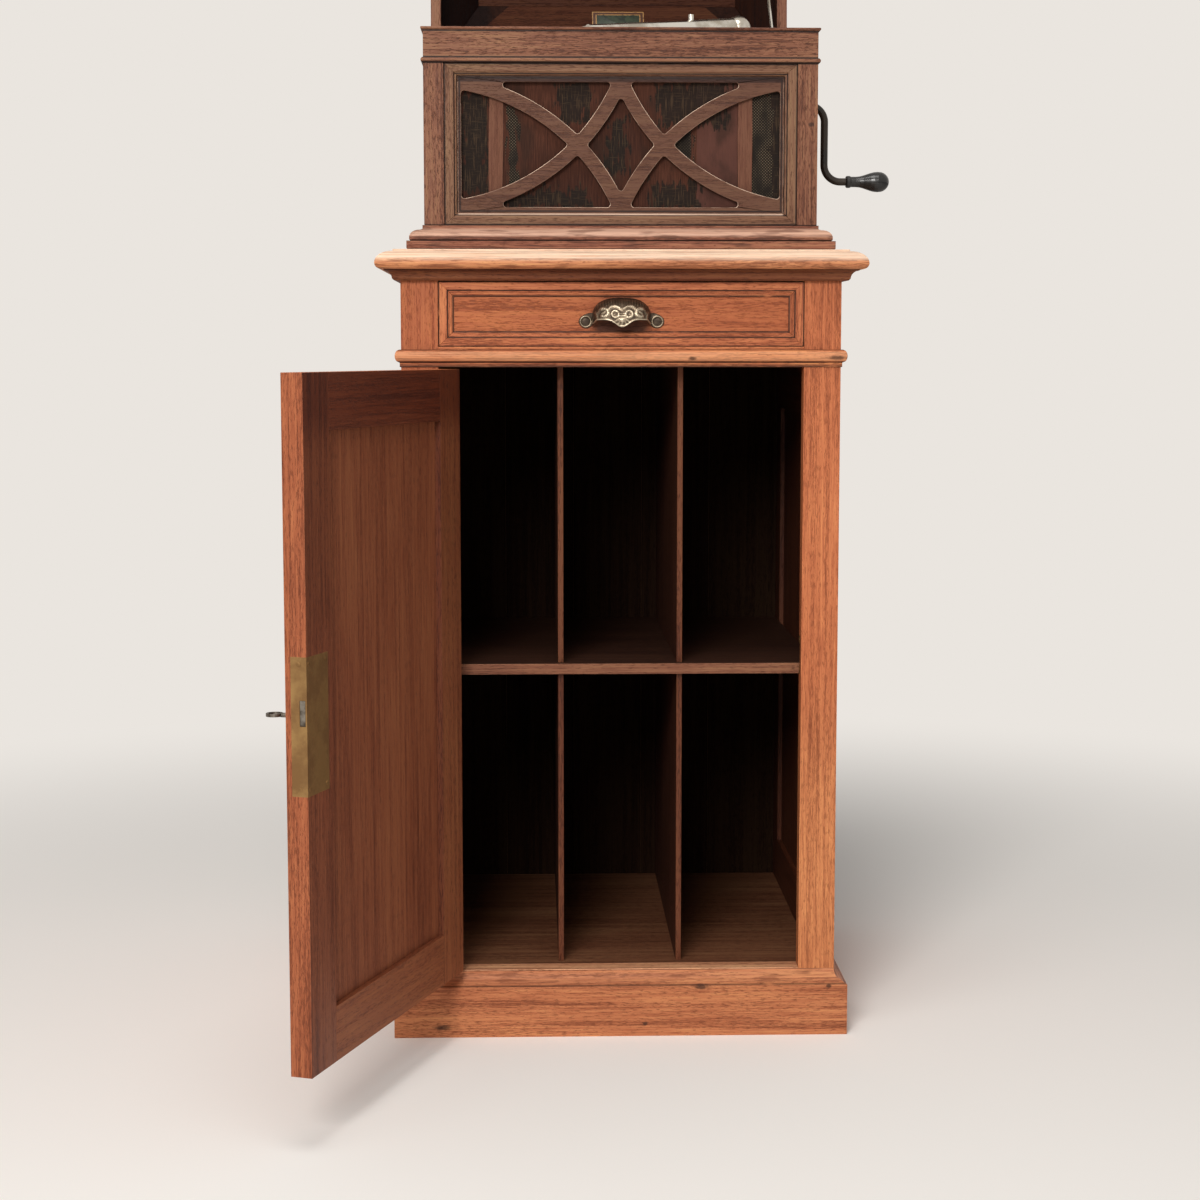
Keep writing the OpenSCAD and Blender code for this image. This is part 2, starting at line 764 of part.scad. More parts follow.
// cup pull: a quarter of a lemon-shaped shell with an ear at each end
module drawer_pull() {
    half = pull_pitch / 2 - cup_in;
    outer = arc([0, 0], pull_r, half, -90, 90, 20);
    inner = arc([0, 0], pull_r - pull_wall, half - pull_wall, 90, -90, 20);
    face_y = border_t;
    color("darkolivegreen") translate([0, face_y, pull_z]) {
        difference() {
            rotate([0, 90, 0]) rotate([0, 0, 180]) rotate_extrude(angle = 100)
                polygon(concat(outer, inner));
            block([-far, 0, -far], [far, far, far]);
        }
        for (s = [-1, 1]) difference() {
            union() {
                translate([s * pull_pitch / 2, 0, 0]) rotate([90, 0, 0])
                    cylinder(r = ear_r, h = pull_wall);
                translate([s * (half - 2.5), -pull_wall / 2, 0])
                    cube([7, pull_wall, 9], center = true);
            }
            translate([s * pull_pitch / 2, eps, 0]) rotate([90, 0, 0])
                cylinder(r = screw_r, h = far);
        }
    }
}

module pull_screws() {
    color(brass) for (s = [-1, 1]) translate([s * pull_pitch / 2, border_t, pull_z]) rotate([90, 0, 0]) {
        translate([0, 0, -screw_l]) cylinder(r = screw_r, h = screw_l + pull_wall);
        translate([0, 0, pull_wall]) cylinder(r1 = 3.4, r2 = 2.6, h = 1.1);
    }
}

// ---- door, drawn closed and put in its open place ----

door_panel_y = door_t - panel_in - panel_t;

module lock_room() {
    block([door_x - lock_w, door_t - lock_plate_t, lock_z], [door_x + eps, door_t + eps, lock_z + lock_h]);
    block([door_x - lock_plate_t, door_t - lock_edge_w, lock_z], [door_x + eps, door_t, lock_z + lock_h]);
    block([door_x - lock_w + 4, door_t - lock_plate_t - lock_case_t, z_key - lock_case_h / 2],
          [door_x, door_t, z_key + lock_case_h / 2]);
}

module door_stiles() {
    color(oak) door_place() difference() {
        translate([0, 0, z_door]) panel_stiles(door_w, door_h, door_t, door_stile_w, door_rail_h,
            door_rail_h, panel_t, door_panel_y);
        for (z = hinge_z) {
            translate([pin_x, -pin_out, z]) hinge_room(hinge_l, knuckle_r);
            block([-door_x - eps, -eps, z], [-door_x + leaf_t, leaf_w - pin_out, z + hinge_l]);
        }
        lock_room();
        translate([key_x, -eps, z_key]) rotate([-90, 0, 0]) cylinder(r = keyhole_r, h = door_t);
        block([key_x - 1.6, -eps, z_key - bit_r - 1], [key_x + 1.6, door_t - lock_case_t, z_key]);
    }
}

module door_rails() {
    color(oak) door_place() translate([0, 0, z_door])
        panel_rails(door_w, door_h, door_t, door_stile_w, door_rail_h, door_rail_h, panel_t, door_panel_y);
}

module door_panel() {
    color(oak) door_place() translate([0, 0, z_door])
        panel_board(door_w, door_h, door_stile_w, door_rail_h, door_rail_h, panel_t, door_panel_y);
}

// stepped moulding round the outside of the door panel
module door_moulding() {
    d = door_panel_y;
    color(oak) door_place() translate([0, d, z_door + door_rail_h]) rotate([90, 0, 0])
        ring([[0, 0], [0, d - 0.8], [-3, d - 0.8], [-3, d - 2], [-6.5, d - 3.2], [-6.5, d - 4.4],
              [-10, 0.8], [-10, 0]], door_w - 2 * door_stile_w, door_h - 2 * door_rail_h, 1, 10);
}

module door_hinge_moving() {
    color(brass) door_place() for (z = hinge_z) translate([pin_x, -pin_out, z])
        hinge_half(hinge_l, knuckle_r, door_gap / 2, leaf_w, true);
}

// cut lock: back plate, edge plate and case
module door_lock() {
    case_y = door_t - lock_plate_t - lock_case_t;
    color(brass) door_place() difference() {
        union() {
            block([door_x - lock_w, door_t - lock_plate_t, lock_z], [door_x, door_t, lock_z + lock_h]);
            block([door_x - lock_plate_t, door_t - lock_edge_w, lock_z], [door_x, door_t, lock_z + lock_h]);
            block([door_x - lock_w + 4, case_y, z_key - lock_case_h / 2],
                  [door_x, door_t - lock_plate_t, z_key + lock_case_h / 2]);
        }
        block([door_x - lock_w + 6, case_y + 1.2, z_key - lock_case_h / 2 + 2],
              [door_x - lock_plate_t, door_t - lock_plate_t, z_key + lock_case_h / 2 - 2]);
        block([door_x - 2 * lock_plate_t, bolt_back - bolt_t - play, bolt_z - play],
              [door_x + eps, bolt_back + play, bolt_z + bolt_h + play]);
        translate([key_x, case_y - eps, z_key]) rotate([-90, 0, 0]) cylinder(r = keyhole_r, h = 3);
        block([key_x - 1.6, case_y - eps, z_key - bit_r - 1], [key_x + 1.6, case_y + 3, z_key]);
    }
}

module key_escutcheon() {
    color(brass) door_place() translate([key_x, 0, z_key]) rotate([90, 0, 0]) difference() {
        union() {
            cylinder(r = 7, h = 1.2);
            translate([0, -9, 0]) cylinder(r = 4.5, h = 1.2);
            translate([-4.5, -9, 0]) cube([9, 9, 1.2]);
        }
        translate([0, 0, -eps]) cylinder(r = keyhole_r, h = 3);
        translate([-1.6, -bit_r - 1, -eps]) cube([3.2, bit_r + 1, 3]);
    }
}

// the bolt, drawn back: its tail runs over the key's bit
module lock_bolt() {
    color(brass) door_place() {
        block([key_x + bit_r + 2, bolt_back - bolt_t, bolt_z], [door_x - play, bolt_back, bolt_z + bolt_h]);
        block([key_x - 15, bolt_back - bolt_t, z_key + bit_r + 1.5],
              [key_x + bit_r + 3, bolt_back, bolt_z + bolt_h]);
    }
}

// the key, a quarter turn from where it goes in: bit, shank, collar and oval bow
module door_key() {
    bow_x = 9;
    bow_z = 8.5;
    color(steel) door_place() translate([key_x, 0, z_key]) rotate([90, 0, 0]) {
        translate([0, 0, -door_t + 4]) cylinder(r = shank_r, h = door_t - 4 + 17);
        translate([0, 0, 2]) cylinder(r = shank_r + 1.4, h = 2.5);
        translate([-bit_r + 0.5, -1, -door_t + 4.5]) cube([bit_r - 1, 2, 6]);
        translate([0, 0, bow_z + 15.5]) rotate([90, 0, 0]) difference() {
            linear_extrude(3, center = true) polygon(oval(bow_x, bow_z));
            linear_extrude(4, center = true) polygon(oval(bow_x - 2.6, bow_z - 2.6));
        }
    }
}

// ---- gramophone case ----

base_profile = concat([[-post_w, 0], [base_out - 1.5, 0], [base_out, 1.5], [base_out, 5.5]],
    arc([base_out - 12, 4], 12, 9, 10, 90, 6), [[2, base_h - 4], [2, base_h], [-post_w, base_h]]);

module gramophone_base() {
    color(dark_oak) {
        difference() {
            block([-case_x - plate_out, gram_y - plate_out, z_slab_top],
                  [case_x + plate_out, case_back + plate_out, z_plate]);
            for (s = [-1, 1]) {
                translate([s * (case_x + plate_out), 0, z_slab_top]) rotate([0, 45, 0])
                    cube([2, 2 * far, 2], center = true);
                translate([0, gram_y + gram_d / 2 + s * (gram_d / 2 + plate_out), z_slab_top])
                    rotate([45, 0, 0]) cube([2 * far, 2, 2], center = true);
            }
        }
        translate([0, gram_y, z_plate]) ring(base_profile, gram_w, gram_d, base_out, post_w);
    }
}

module case_posts() {
    color(dark_oak) for (s = [0, 1], y = [gram_y, case_back - post_w]) mirror([s, 0, 0])
        block([case_x - post_w, y, z_post], [case_x, y + post_w, z_bead]);
}

module case_walls() {
    color(dark_oak) {
        for (s = [0, 1]) mirror([s, 0, 0]) difference() {
            block([case_x - wall_in - wall_t, gram_y + post_w, z_post],
                  [case_x - wall_in, case_back - post_w, z_bead]);
            if (s == 0) translate([0, crank_y, z_crank]) rotate([0, 90, 0])
                cylinder(r = rod_r + 3.5, h = far);
        }
        block([-case_x + post_w, case_back - wall_in - wall_t, z_post],
              [case_x - post_w, case_back - wall_in, z_bead]);
    }
}

bead_profile = concat([[-wall_t, 0], [1.2, 0]],
    arc([1.2, bead_h / 2], 1.5, bead_h / 2 - 0.6, -nose_turn, nose_turn, 6),
    [[1.2, bead_h], [-wall_t, bead_h]]);
rim_profile = concat([[-wall_t, 0]], arc([rim_out - 1, rim_h / 2], 1, rim_h / 2, -90, 90, 6),
    [[-wall_t, rim_h]]);

band_profile = [[-wall_t, 0], [0, 0], [0, band_h], [-wall_t, band_h]];

// bead, band and rim, mitred at the front, with one board between them at the back
module case_band() {
    color(dark_oak) {
        translate([0, gram_y, z_bead]) front_ring(bead_profile, gram_w, gram_d, 4, wall_t);
        translate([0, gram_y, z_band]) front_ring(band_profile, gram_w, gram_d, 1, wall_t);
        translate([0, gram_y, z_band + band_h]) front_ring(rim_profile, gram_w, gram_d, 5, wall_t);
        block([-wall_x + seam, case_back - wall_t, z_bead], [wall_x - seam, case_back, z_rim]);
    }
}

// ---- grille ----

grille_y = gram_y + 1.5;
grille_x = case_x - post_w - play;
grille_z = z_post + post_h / 2;
grille_hz = post_h / 2 - play;
fret_x = grille_x - grille_stile;
fret_z = grille_hz - grille_rail;
fret_y = grille_y + 4.5;
cloth_t = 1.5;

function grille_profile(w) = [[0, 0], [0, grille_t], [-w + 4, grille_t], [-w + 3.4, grille_t - 1],
    [-w + 0.8, grille_t - 1.7], [-w, grille_t - 3.2], [-w, 0]];

// four mitred pieces with a small bead on their inner edges
module grille_frame() {
    k = grille_stile / grille_rail;
    color(dark_oak) translate([0, grille_y + grille_t, grille_z]) rotate([90, 0, 0]) for (a = [0, 180])
        rotate([0, 0, a]) {
            translate([0, -grille_hz, 0])
                run(grille_profile(grille_rail), seamed(2 * grille_x), 0.5, grille_rail, k);
            rotate([0, 0, 90]) translate([0, -grille_x, 0])
                run(grille_profile(grille_stile), seamed(2 * grille_hz), 0.5, grille_stile, 1 / k);
        }
}

// the four curved bars, cut to the rectangle inside the fret's border
module fret_bars() {
    hx = fret_x - fret_side;
    hz = fret_z - fret_top;
    intersection() {
        square([2 * hx + 1, 2 * hz + 1], center = true);
        for (sx = [-1, 1], sz = [-1, 1]) translate([sx * bar_cx, sz * bar_cz]) intersection() {
            difference() {
                circle(r = bar_r + bar_w / 2, $fn = 160);
                circle(r = bar_r - bar_w / 2, $fn = 160);
            }
            translate([sx > 0 ? -far : 0, sz > 0 ? -far : 0]) square(far);
        }
    }
}

module grille_fret() {
    hx = fret_x - fret_side;
    hz = fret_z - fret_top;
    color(dark_oak) translate([0, fret_y + fret_t, grille_z]) rotate([90, 0, 0]) linear_extrude(fret_t)
        offset(r = -fret_corner) offset(delta = fret_corner) union() {
            difference() {
                square([2 * fret_x, 2 * fret_z], center = true);
                square([2 * hx, 2 * hz], center = true);
            }
            fret_bars();
        }
}

module grille_battens() {
    color("rosybrown") for (s = [-1, 1]) translate([s * batten_pitch / 2, 0, grille_z])
        block([-batten_w / 2, fret_y + fret_t, -fret_z], [batten_w / 2, grille_y + grille_t, fret_z]);
}

module grille_cloth() {
    color("maroon") translate([0, 0, grille_z])
        block([-fret_x - 6, grille_y + grille_t, -fret_z - 5],
              [fret_x + 6, grille_y + grille_t + cloth_t, fret_z + 5]);
}

// ---- deck, horn and tonearm base ----

module motor_board() {
    y0 = grille_y + grille_t + cloth_t + play;
    y1 = case_back - wall_in - wall_t;
    color(dark_oak) difference() {
        block([-case_x + wall_in + wall_t, y0, z_deck - deck_t], [case_x - wall_in - wall_t, y1, z_deck]);
        for (s = [0, 1], y = [gram_y, case_back - post_w]) mirror([s, 0, 0])
            block([case_x - post_w, y - eps, 0], [case_x, y + post_w, far]);
        translate([spindle_x, spindle_y, 0]) cylinder(r = 13, h = far);
        translate([arm_x, arm_y, 0]) cylinder(r = throat_r + 4, h = far);
        block([stay_x - stay_t - 1.5, lid_axis_y + stud_y - 40, 0],
              [case_x, lid_axis_y + stud_y + 12, far]);
    }
}

// a flat slice of the horn, between two corners in X and Z, at one depth
module horn_slice(y, x0, x1, z0, z1) { block([x0, y, z0], [x1, y + 0.01, z1]); }

// wooden horn: a wide mouth behind the grille, sloping down to pass under the motor, then back and up
module horn_body(in) {
    wall = 5;
    k = in ? wall : 0;
    y0 = gram_y + post_w + 1;
    low = z_plate + k;
    mouth_x = fret_x + 3 - k;
    under = z_motor_low - 12 - k;
    box_x0 = arm_x - 32 + k;
    box_x1 = arm_x + 32 - k;
    hull() {
        horn_slice(y0 - (in ? 1 : 0), -mouth_x, mouth_x, low, z_deck - deck_t - 3 - k);
        horn_slice(y0 + 70, -150 + k, box_x1, low, under);
    }
    hull() {
        horn_slice(y0 + 70, -150 + k, box_x1, low, under);
        horn_slice(arm_y - 34 + k, box_x0, box_x1, low, under);
    }
    hull() {
        horn_slice(arm_y - 34 + k, box_x0, box_x1, low, under);
        horn_slice(arm_y + 32 - k, box_x0, box_x1, low, under);
    }
}

module horn() {
    color("burlywood") difference() {
        horn_body(false);
        horn_body(true);
        translate([arm_x, arm_y, z_motor_low - 40]) cylinder(r = throat_r, h = 60);
    }
}

// flange and tube that the tonearm turns on, with the throat down to the horn
module tonearm_base() {
    color(nickel) translate([arm_x, arm_y, 0]) difference() {
        union() {
            translate([0, 0, z_deck]) cylinder(r = arm_flange_r, h = throat_t);
            translate([0, 0, z_deck]) cylinder(r = arm_collar_r, h = arm_collar_h);
            translate([0, 0, z_motor_low - 12])
                cylinder(r = throat_r + throat_t, h = z_arm - throat_down - z_motor_low + 12);
        }
        cylinder(r = throat_r, h = far);
    }
}

// ---- motor ----

module motor_frame() {
    x0 = motor_x0;
    x1 = motor_x1;
    dy = motor_half;
    color(steel) difference() {
        union() {
            for (z = [z_motor_low - motor_plate_t, z_motor_top])
                block([x0, spindle_y - dy, z], [x1, spindle_y + dy, z + motor_plate_t]);
            for (x = [x0 + pillar_in, x1 - pillar_in], y = [pillar_in - dy, dy - pillar_in])
                translate([x, spindle_y + y, z_motor_low]) {
                    cylinder(r = pillar_r, h = motor_h);
                    translate([0, 0, motor_h + motor_plate_t - eps])
                        cylinder(r = pillar_r + 1, h = hanger_h + eps);
                }
            block([x1 - 3, crank_y - 10, z_crank - 9],
                  [x1 + bearing_t, crank_y + 10, z_motor_top + motor_plate_t + hanger_h]);
        }
        translate([spindle_x, spindle_y, 0]) cylinder(r = spindle_r + fit, h = far);
        translate([barrel_x, spindle_y, 0])
            cylinder(r = arbor_r + fit, h = z_motor_top + motor_plate_t - 1);
        translate([governor_x, spindle_y, 0])
            cylinder(r = governor_r + fit, h = z_motor_top + motor_plate_t - 1);
        translate([x1, crank_y, z_crank]) rotate([0, 90, 0]) cylinder(r = rod_r + fit, h = far);
    }
}

module turntable() {
    color(nickel) translate([spindle_x, spindle_y, z_deck + table_gap]) rotate_extrude($fn = 96)
        polygon(concat([[spindle_r, -4], [11, -4], [12, table_h - 2], [table_r - 5, table_h - 2],
            [table_r - 2, table_h - 4], [table_r - 2, 0], [table_r, 0]],
            arc([table_r - 4, table_h - 4], 4, 4, 0, 90, 4), [[spindle_r, table_h]]));
}

module turntable_felt() {
    color("darkgreen") translate([spindle_x, spindle_y, z_felt]) difference() {
        cylinder(r = table_r - 2.5, h = felt_t, $fn = 96);
        translate([0, 0, -1]) cylinder(r = spindle_r, h = 5);
    }
}

// spindle with the pinion that the barrel drives and the wheel that drives the governor
module spindle() {
    color(steel) translate([spindle_x, spindle_y, 0]) {
        translate([0, 0, z_motor_low - motor_plate_t + play])
            cylinder(r = spindle_r,
                     h = z_felt + felt_t + spindle_up - 2 - z_motor_low + motor_plate_t - play);
        translate([0, 0, z_felt + felt_t + spindle_up - 2]) cylinder(r1 = spindle_r, r2 = 1.8, h = 2);
        translate([0, 0, z_gear - 1]) gear(pinion_teeth, barrel_m, gear_t + 2);
        translate([0, 0, z_wheel]) gear(wheel_teeth, governor_m, 3);
    }
}

module spring_barrel() {
    color(brass) translate([barrel_x, spindle_y, 0]) {
        translate([0, 0, z_motor_low + 4]) cylinder(r = barrel_r, h = z_gear - z_motor_low - 4);
        translate([0, 0, z_gear]) rotate([0, 0, 180 / barrel_teeth]) gear(barrel_teeth, barrel_m, gear_t);
        translate([0, 0, z_motor_low - motor_plate_t + play])
            cylinder(r = arbor_r, h = motor_h + 2 * motor_plate_t - 1 - 2 * play);
    }
}

// governor: pinion, upper and lower collars and three weights on their springs
module governor() {
    color(brass) translate([governor_x, spindle_y, 0]) {
        translate([0, 0, z_motor_low - motor_plate_t + play])
            cylinder(r = governor_r, h = motor_h + 2 * motor_plate_t - 1 - 2 * play);
        translate([0, 0, z_wheel - 2]) rotate([0, 0, 180 / governor_teeth])
            gear(governor_teeth, governor_m, 7);
        for (z = [12, 36]) translate([0, 0, z_motor_low + z]) cylinder(r = 8, h = 3);
        for (a = [0:120:240]) rotate([0, 0, a]) {
            translate([6, -1.5, z_motor_low + 12]) cube([1, 3, 27]);
            translate([9.5, 0, z_motor_low + 25.5]) sphere(r = 4, $fn = 24);
        }
    }
}

// ---- crank ----

module crank_bush() {
    color(brass) translate([0, crank_y, z_crank]) rotate([0, 90, 0]) difference() {
        union() {
            translate([0, 0, case_x - wall_in - wall_t]) cylinder(r = rod_r + 3.5, h = wall_t);
            translate([0, 0, case_x - wall_in]) cylinder(r = 13, h = 1.5);
        }
        cylinder(r = rod_r + fit, h = far);
    }
}

// a quarter bend of the rod round the origin, in the X-Z plane, from angle a to a + 90
module rod_bend(a) {
    rotate([90, 0, 0]) rotate([0, 0, a]) rotate_extrude(angle = 90)
        translate([crank_bend, 0]) circle(r = rod_r, $fn = 32);
}

module rod(l) { cylinder(r = rod_r, h = l, $fn = 32); }

// shaft, arm and the rod that the grip turns on
module crank_arm() {
    x0 = motor_x1 + 1;
    x1 = case_x + crank_out - crank_bend;
    x2 = case_x + crank_out + crank_bend;
    straight = crank_arm_l - 2 * crank_bend;
    color("dimgray") translate([0, crank_y, z_crank]) {
        translate([x0, 0, 0]) rotate([0, 90, 0]) rod(x1 - x0);
        translate([x1, 0, -crank_bend]) rod_bend(0);
        translate([case_x + crank_out, 0, -crank_bend - straight]) rod(straight);
        translate([x2, 0, -crank_arm_l + crank_bend]) rod_bend(180);
        translate([x2, 0, -crank_arm_l]) rotate([0, 90, 0]) {
            rod(grip_x - x2 - play);
            cylinder(r = grip_rod_r, h = grip_x + grip_l - 4 - x2, $fn = 32);
        }
    }
}

grip_profile = concat([[grip_rod_r + fit, 0], [6.2, 0], [7.2, 1.4], [7.2, 4.5], [6.2, 6.5], [6.2, 12]],
    [for (i = [1:6]) [6.2 + (grip_r - 6.2) * (1 - cos(i * 30)) / 2, 12 + (grip_l - 26) * i / 6]],
    arc([0, grip_l - 13], grip_r, 13, 15, 90, 7), [[0, grip_l - 3.5], [grip_rod_r + fit, grip_l - 3.5]]);

module crank_grip() {
    color("black") translate([grip_x, crank_y, z_crank - crank_arm_l]) rotate([0, 90, 0])
        rotate_extrude() polygon(grip_profile);
}

// ---- tonearm ----

module arm_place() { translate([arm_x, arm_y, 0]) rotate([0, 0, arm_angle]) children(); }

// puts what is drawn along +Z from the origin on the tonearm's sloping axis
module arm_axis() { translate([0, 0, z_arm]) rotate([0, 90 + arm_slope, 0]) children(); }

module tonearm() {
    collar = throat_r + throat_t + fit;
    color(nickel) arm_place() difference() {
        union() {
            translate([0, 0, z_deck + 8]) cylinder(r = collar + 1.4, h = arm_up - 8);
            translate([0, 0, z_arm]) sphere(r = collar + 1.4);
            arm_axis() cylinder(r1 = arm_r, r2 = arm_tip_r, h = arm_l);
            translate([arm_l * 0.35, 0, z_arm]) cylinder(r = 3.5, h = 13);
        }
        translate([0, 0, z_deck]) cylinder(r = collar, h = arm_up - throat_down + play);
        translate([0, 0, z_arm - throat_down - 1]) cylinder(r = throat_r, h = throat_down + 5);
        arm_axis() cylinder(r1 = arm_r - 3, r2 = neck_r - 1, h = arm_l);
        arm_axis() translate([0, 0, arm_l - 14]) cylinder(r = neck_r + fit, h = 15);
    }
}

// gooseneck and soundbox, turning on the tonearm's own axis; the needle points down
module soundbox() {
    color(nickel) arm_place() {
        difference() {
            union() {
                arm_axis() translate([0, 0, arm_l + play]) cylinder(r = arm_tip_r, h = 18);
                arm_axis() translate([0, 0, arm_l - 12]) cylinder(r = neck_r, h = 14);
                translate([arm_l + 9, 0, z_arm_end]) rotate([neck_tilt, 0, 0])
                    cylinder(r = 8, h = norm([soundbox_off - soundbox_t / 2 + 4, z_arm_end - z_soundbox]));
            }
            arm_axis() translate([0, 0, arm_l - 13]) cylinder(r = neck_r - 1.5, h = 26);
        }
        translate([arm_l + 9, -soundbox_off + soundbox_t / 2, z_soundbox]) rotate([90, 0, 0]) {
            cylinder(r = soundbox_r, h = soundbox_t);
            translate([0, 0, soundbox_t]) cylinder(r = soundbox_r - 6, h = 1.5);
            translate([0, -soundbox_r + 5, soundbox_t / 2]) rotate([90, 0, 0]) cylinder(r = 2.4, h = 9);
            translate([0, -soundbox_r - 9.5, soundbox_t / 2]) rotate([-90, 0, 0])
                cylinder(r1 = 0.3, r2 = 0.8, h = 7);
        }
    }
}

// ---- brake and speed control ----

// lever with a pad at the turntable's rim and a knob at its other end
module brake_lever() {
    pad = norm([brake_x - spindle_x, brake_y - spindle_y]) - table_r - 1;
    aim = atan2(spindle_y - brake_y, spindle_x - brake_x);
    color(nickel) translate([brake_x, brake_y, z_deck]) {
        cylinder(r = 7, h = 8);
        translate([0, 0, 8]) cylinder(r = 4, h = 2);
        rotate([0, 0, aim]) {
            translate([0, -3, 4]) cube([pad - 3, 6, 3]);
            translate([pad - 5, -6, 4]) cube([5, 12, table_gap + 4]);
            translate([-34, -3, 4]) cube([34, 6, 3]);
            translate([-34, 0, 4]) cylinder(r = 5, h = 10);
        }
    }
}

module speed_knob() {
    color(nickel) translate([knob_x, knob_y, z_deck]) {
        cylinder(r = 4, h = 6);
        translate([0, 0, 5]) difference() {
            cylinder(r = 9, h = 7);
            translate([-0.8, 0, 5]) cube([1.6, 10, 5]);
        }
    }
}

// ---- lid, drawn shut round its hinge axis and put in its open place ----

// half of both lid hinges round the axis, its leaves pointing down
module lid_hinges(w, moving) {
    for (s = [-1, 1]) translate([s * lid_hinge_pitch / 2 - lid_hinge_l / 2, 0, 0])
        rotate([-90, 0, 0]) rotate([0, 90, 0])
            hinge_half(lid_hinge_l, lid_knuckle_r, lid_knuckle_r + play - leaf_t, w, moving);
}

// leaves screwed to the back of the case, and the stud that the stay slides on
module lid_hinge_fixed() {
    color(brass) {
        lid_place(0) lid_hinges(22, false);
        translate([0, lid_axis_y + stud_y, lid_axis_z - stay_down]) rotate([0, 90, 0]) {
            translate([0, 0, stay_x - stay_t - 2]) cylinder(r = stud_r, h = wall_x - stay_x + stay_t + 2);
            translate([0, 0, stay_x - stay_t - 2]) cylinder(r = stud_r + 2, h = 2 - play);
            translate([0, 0, stay_x + play]) cylinder(r = stud_r + 3, h = wall_x - stay_x - play);
        }
    }
}

// leaves screwed to the back of the lid, and the pin that the stay turns on
module lid_hinge_moving() {
    color(brass) lid_place() {
        mirror([0, 0, 1]) lid_hinges(20, true);
        translate([stay_x - stay_t - 1, -stay_arm, stay_up]) rotate([0, 90, 0])
            cylinder(r = stud_r, h = lid_x - lid_wall - stay_x + stay_t + 1);
    }
}

module lid_frame() {
    d = lid_back - lid_front;
    color(dark_oak) lid_place() translate([0, lid_front, lid_gap / 2])
        ring([[-lid_wall, 0], [0, 0], [0, lid_frame_h], [-lid_wall, lid_frame_h]],
             2 * lid_x, d, 1, lid_wall);
}

// one sloping board: rising over the width run, along the length w, between hips that come in by side
module slope_board(w, run, side) {
    intersection() {
        translate([-w / 2, 0, 0]) rotate([90, 0, 90]) linear_extrude(w)
            polygon([[0, 0], [run, slope_h - lid_t], [run, slope_h], [0, lid_t]]);
        translate([0, 0, -1]) linear_extrude(far)
            polygon([[-w / 2 + seam, 0], [w / 2 - seam, 0],
                     [w / 2 - side - seam, run], [-w / 2 + side + seam, run]]);
    }
}

module lid_slopes() {
    d = lid_back - lid_front;
    color(dark_oak) lid_place() translate([0, lid_front, lid_gap / 2 + lid_frame_h]) {
        slope_board(2 * lid_x, slope_y, slope_x);
        translate([0, d, 0]) rotate([0, 0, 180]) slope_board(2 * lid_x, slope_y, slope_x);
        for (s = [-1, 1]) translate([s * lid_x, d / 2, 0]) rotate([0, 0, s * 90])
            slope_board(d, slope_x, slope_y);
    }
}

module lid_panel() {
    z = lid_gap / 2 + lid_frame_h + slope_h;
    color(dark_oak) lid_place()
        block([-lid_x + slope_x, lid_front + slope_y, z - lid_t], [lid_x - slope_x, lid_back - slope_y, z]);
}

// slotted stay, turning on a pin in the lid and sliding over the stud on the case
module lid_stay() {
    end = stay_wide + 13;
    color(nickel) lid_place() translate([stay_x - stay_t, -stay_arm, stay_up])
        rotate([lid_open / 2 - stay_lean, 0, 0]) rotate([0, 90, 0]) difference() {
            union() {
                translate([0, -stay_w / 2, 0]) cube([end, stay_w, stay_t]);
                cylinder(r = stay_w / 2, h = stay_t);
                translate([end, 0, 0]) cylinder(r = stay_w / 2, h = stay_t);
            }
            translate([0, 0, -eps]) cylinder(r = stud_r + fit, h = stay_t + 1);
            translate([stay_shut - 4, -stud_r - play, -eps])
                cube([stay_wide - stay_shut + 8, 2 * (stud_r + play), 9]);
        }
}

plinth();
side_left();
side_right();
front_stiles();
front_rails();
waist_moulding();
bottom_board();
shelf();
dividers();
back_boards();
dust_board();
drawer_runners();
top_slab();
cove_moulding();
door_hinge_fixed();
strike_plate();
drawer_front();
drawer_border();
drawer_box();
drawer_pull();
pull_screws();
door_stiles();
door_rails();
door_panel();
door_moulding();
door_hinge_moving();
door_lock();
key_escutcheon();
lock_bolt();
door_key();
gramophone_base();
case_posts();
case_walls();
case_band();
grille_frame();
grille_fret();
grille_battens();
grille_cloth();
motor_board();
horn();
tonearm_base();
lid_hinge_fixed();
motor_frame();
crank_bush();
lid_frame();
lid_slopes();
lid_panel();
lid_hinge_moving();
lid_stay();
turntable();
turntable_felt();
spindle();
spring_barrel();
governor();
crank_arm();
crank_grip();
tonearm();
soundbox();
brake_lever();
speed_knob();
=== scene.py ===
"""Looks of a table gramophone on its oak record cabinet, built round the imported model.

Metres, X to the right, Y away from the front, Z up. The cabinet's front is at Y = 0.
"""
import json
import math
from functools import partial, partialmethod, reduce
from operator import mul

import bmesh
import bpy
import numpy as np
from mathutils import Matrix, Vector


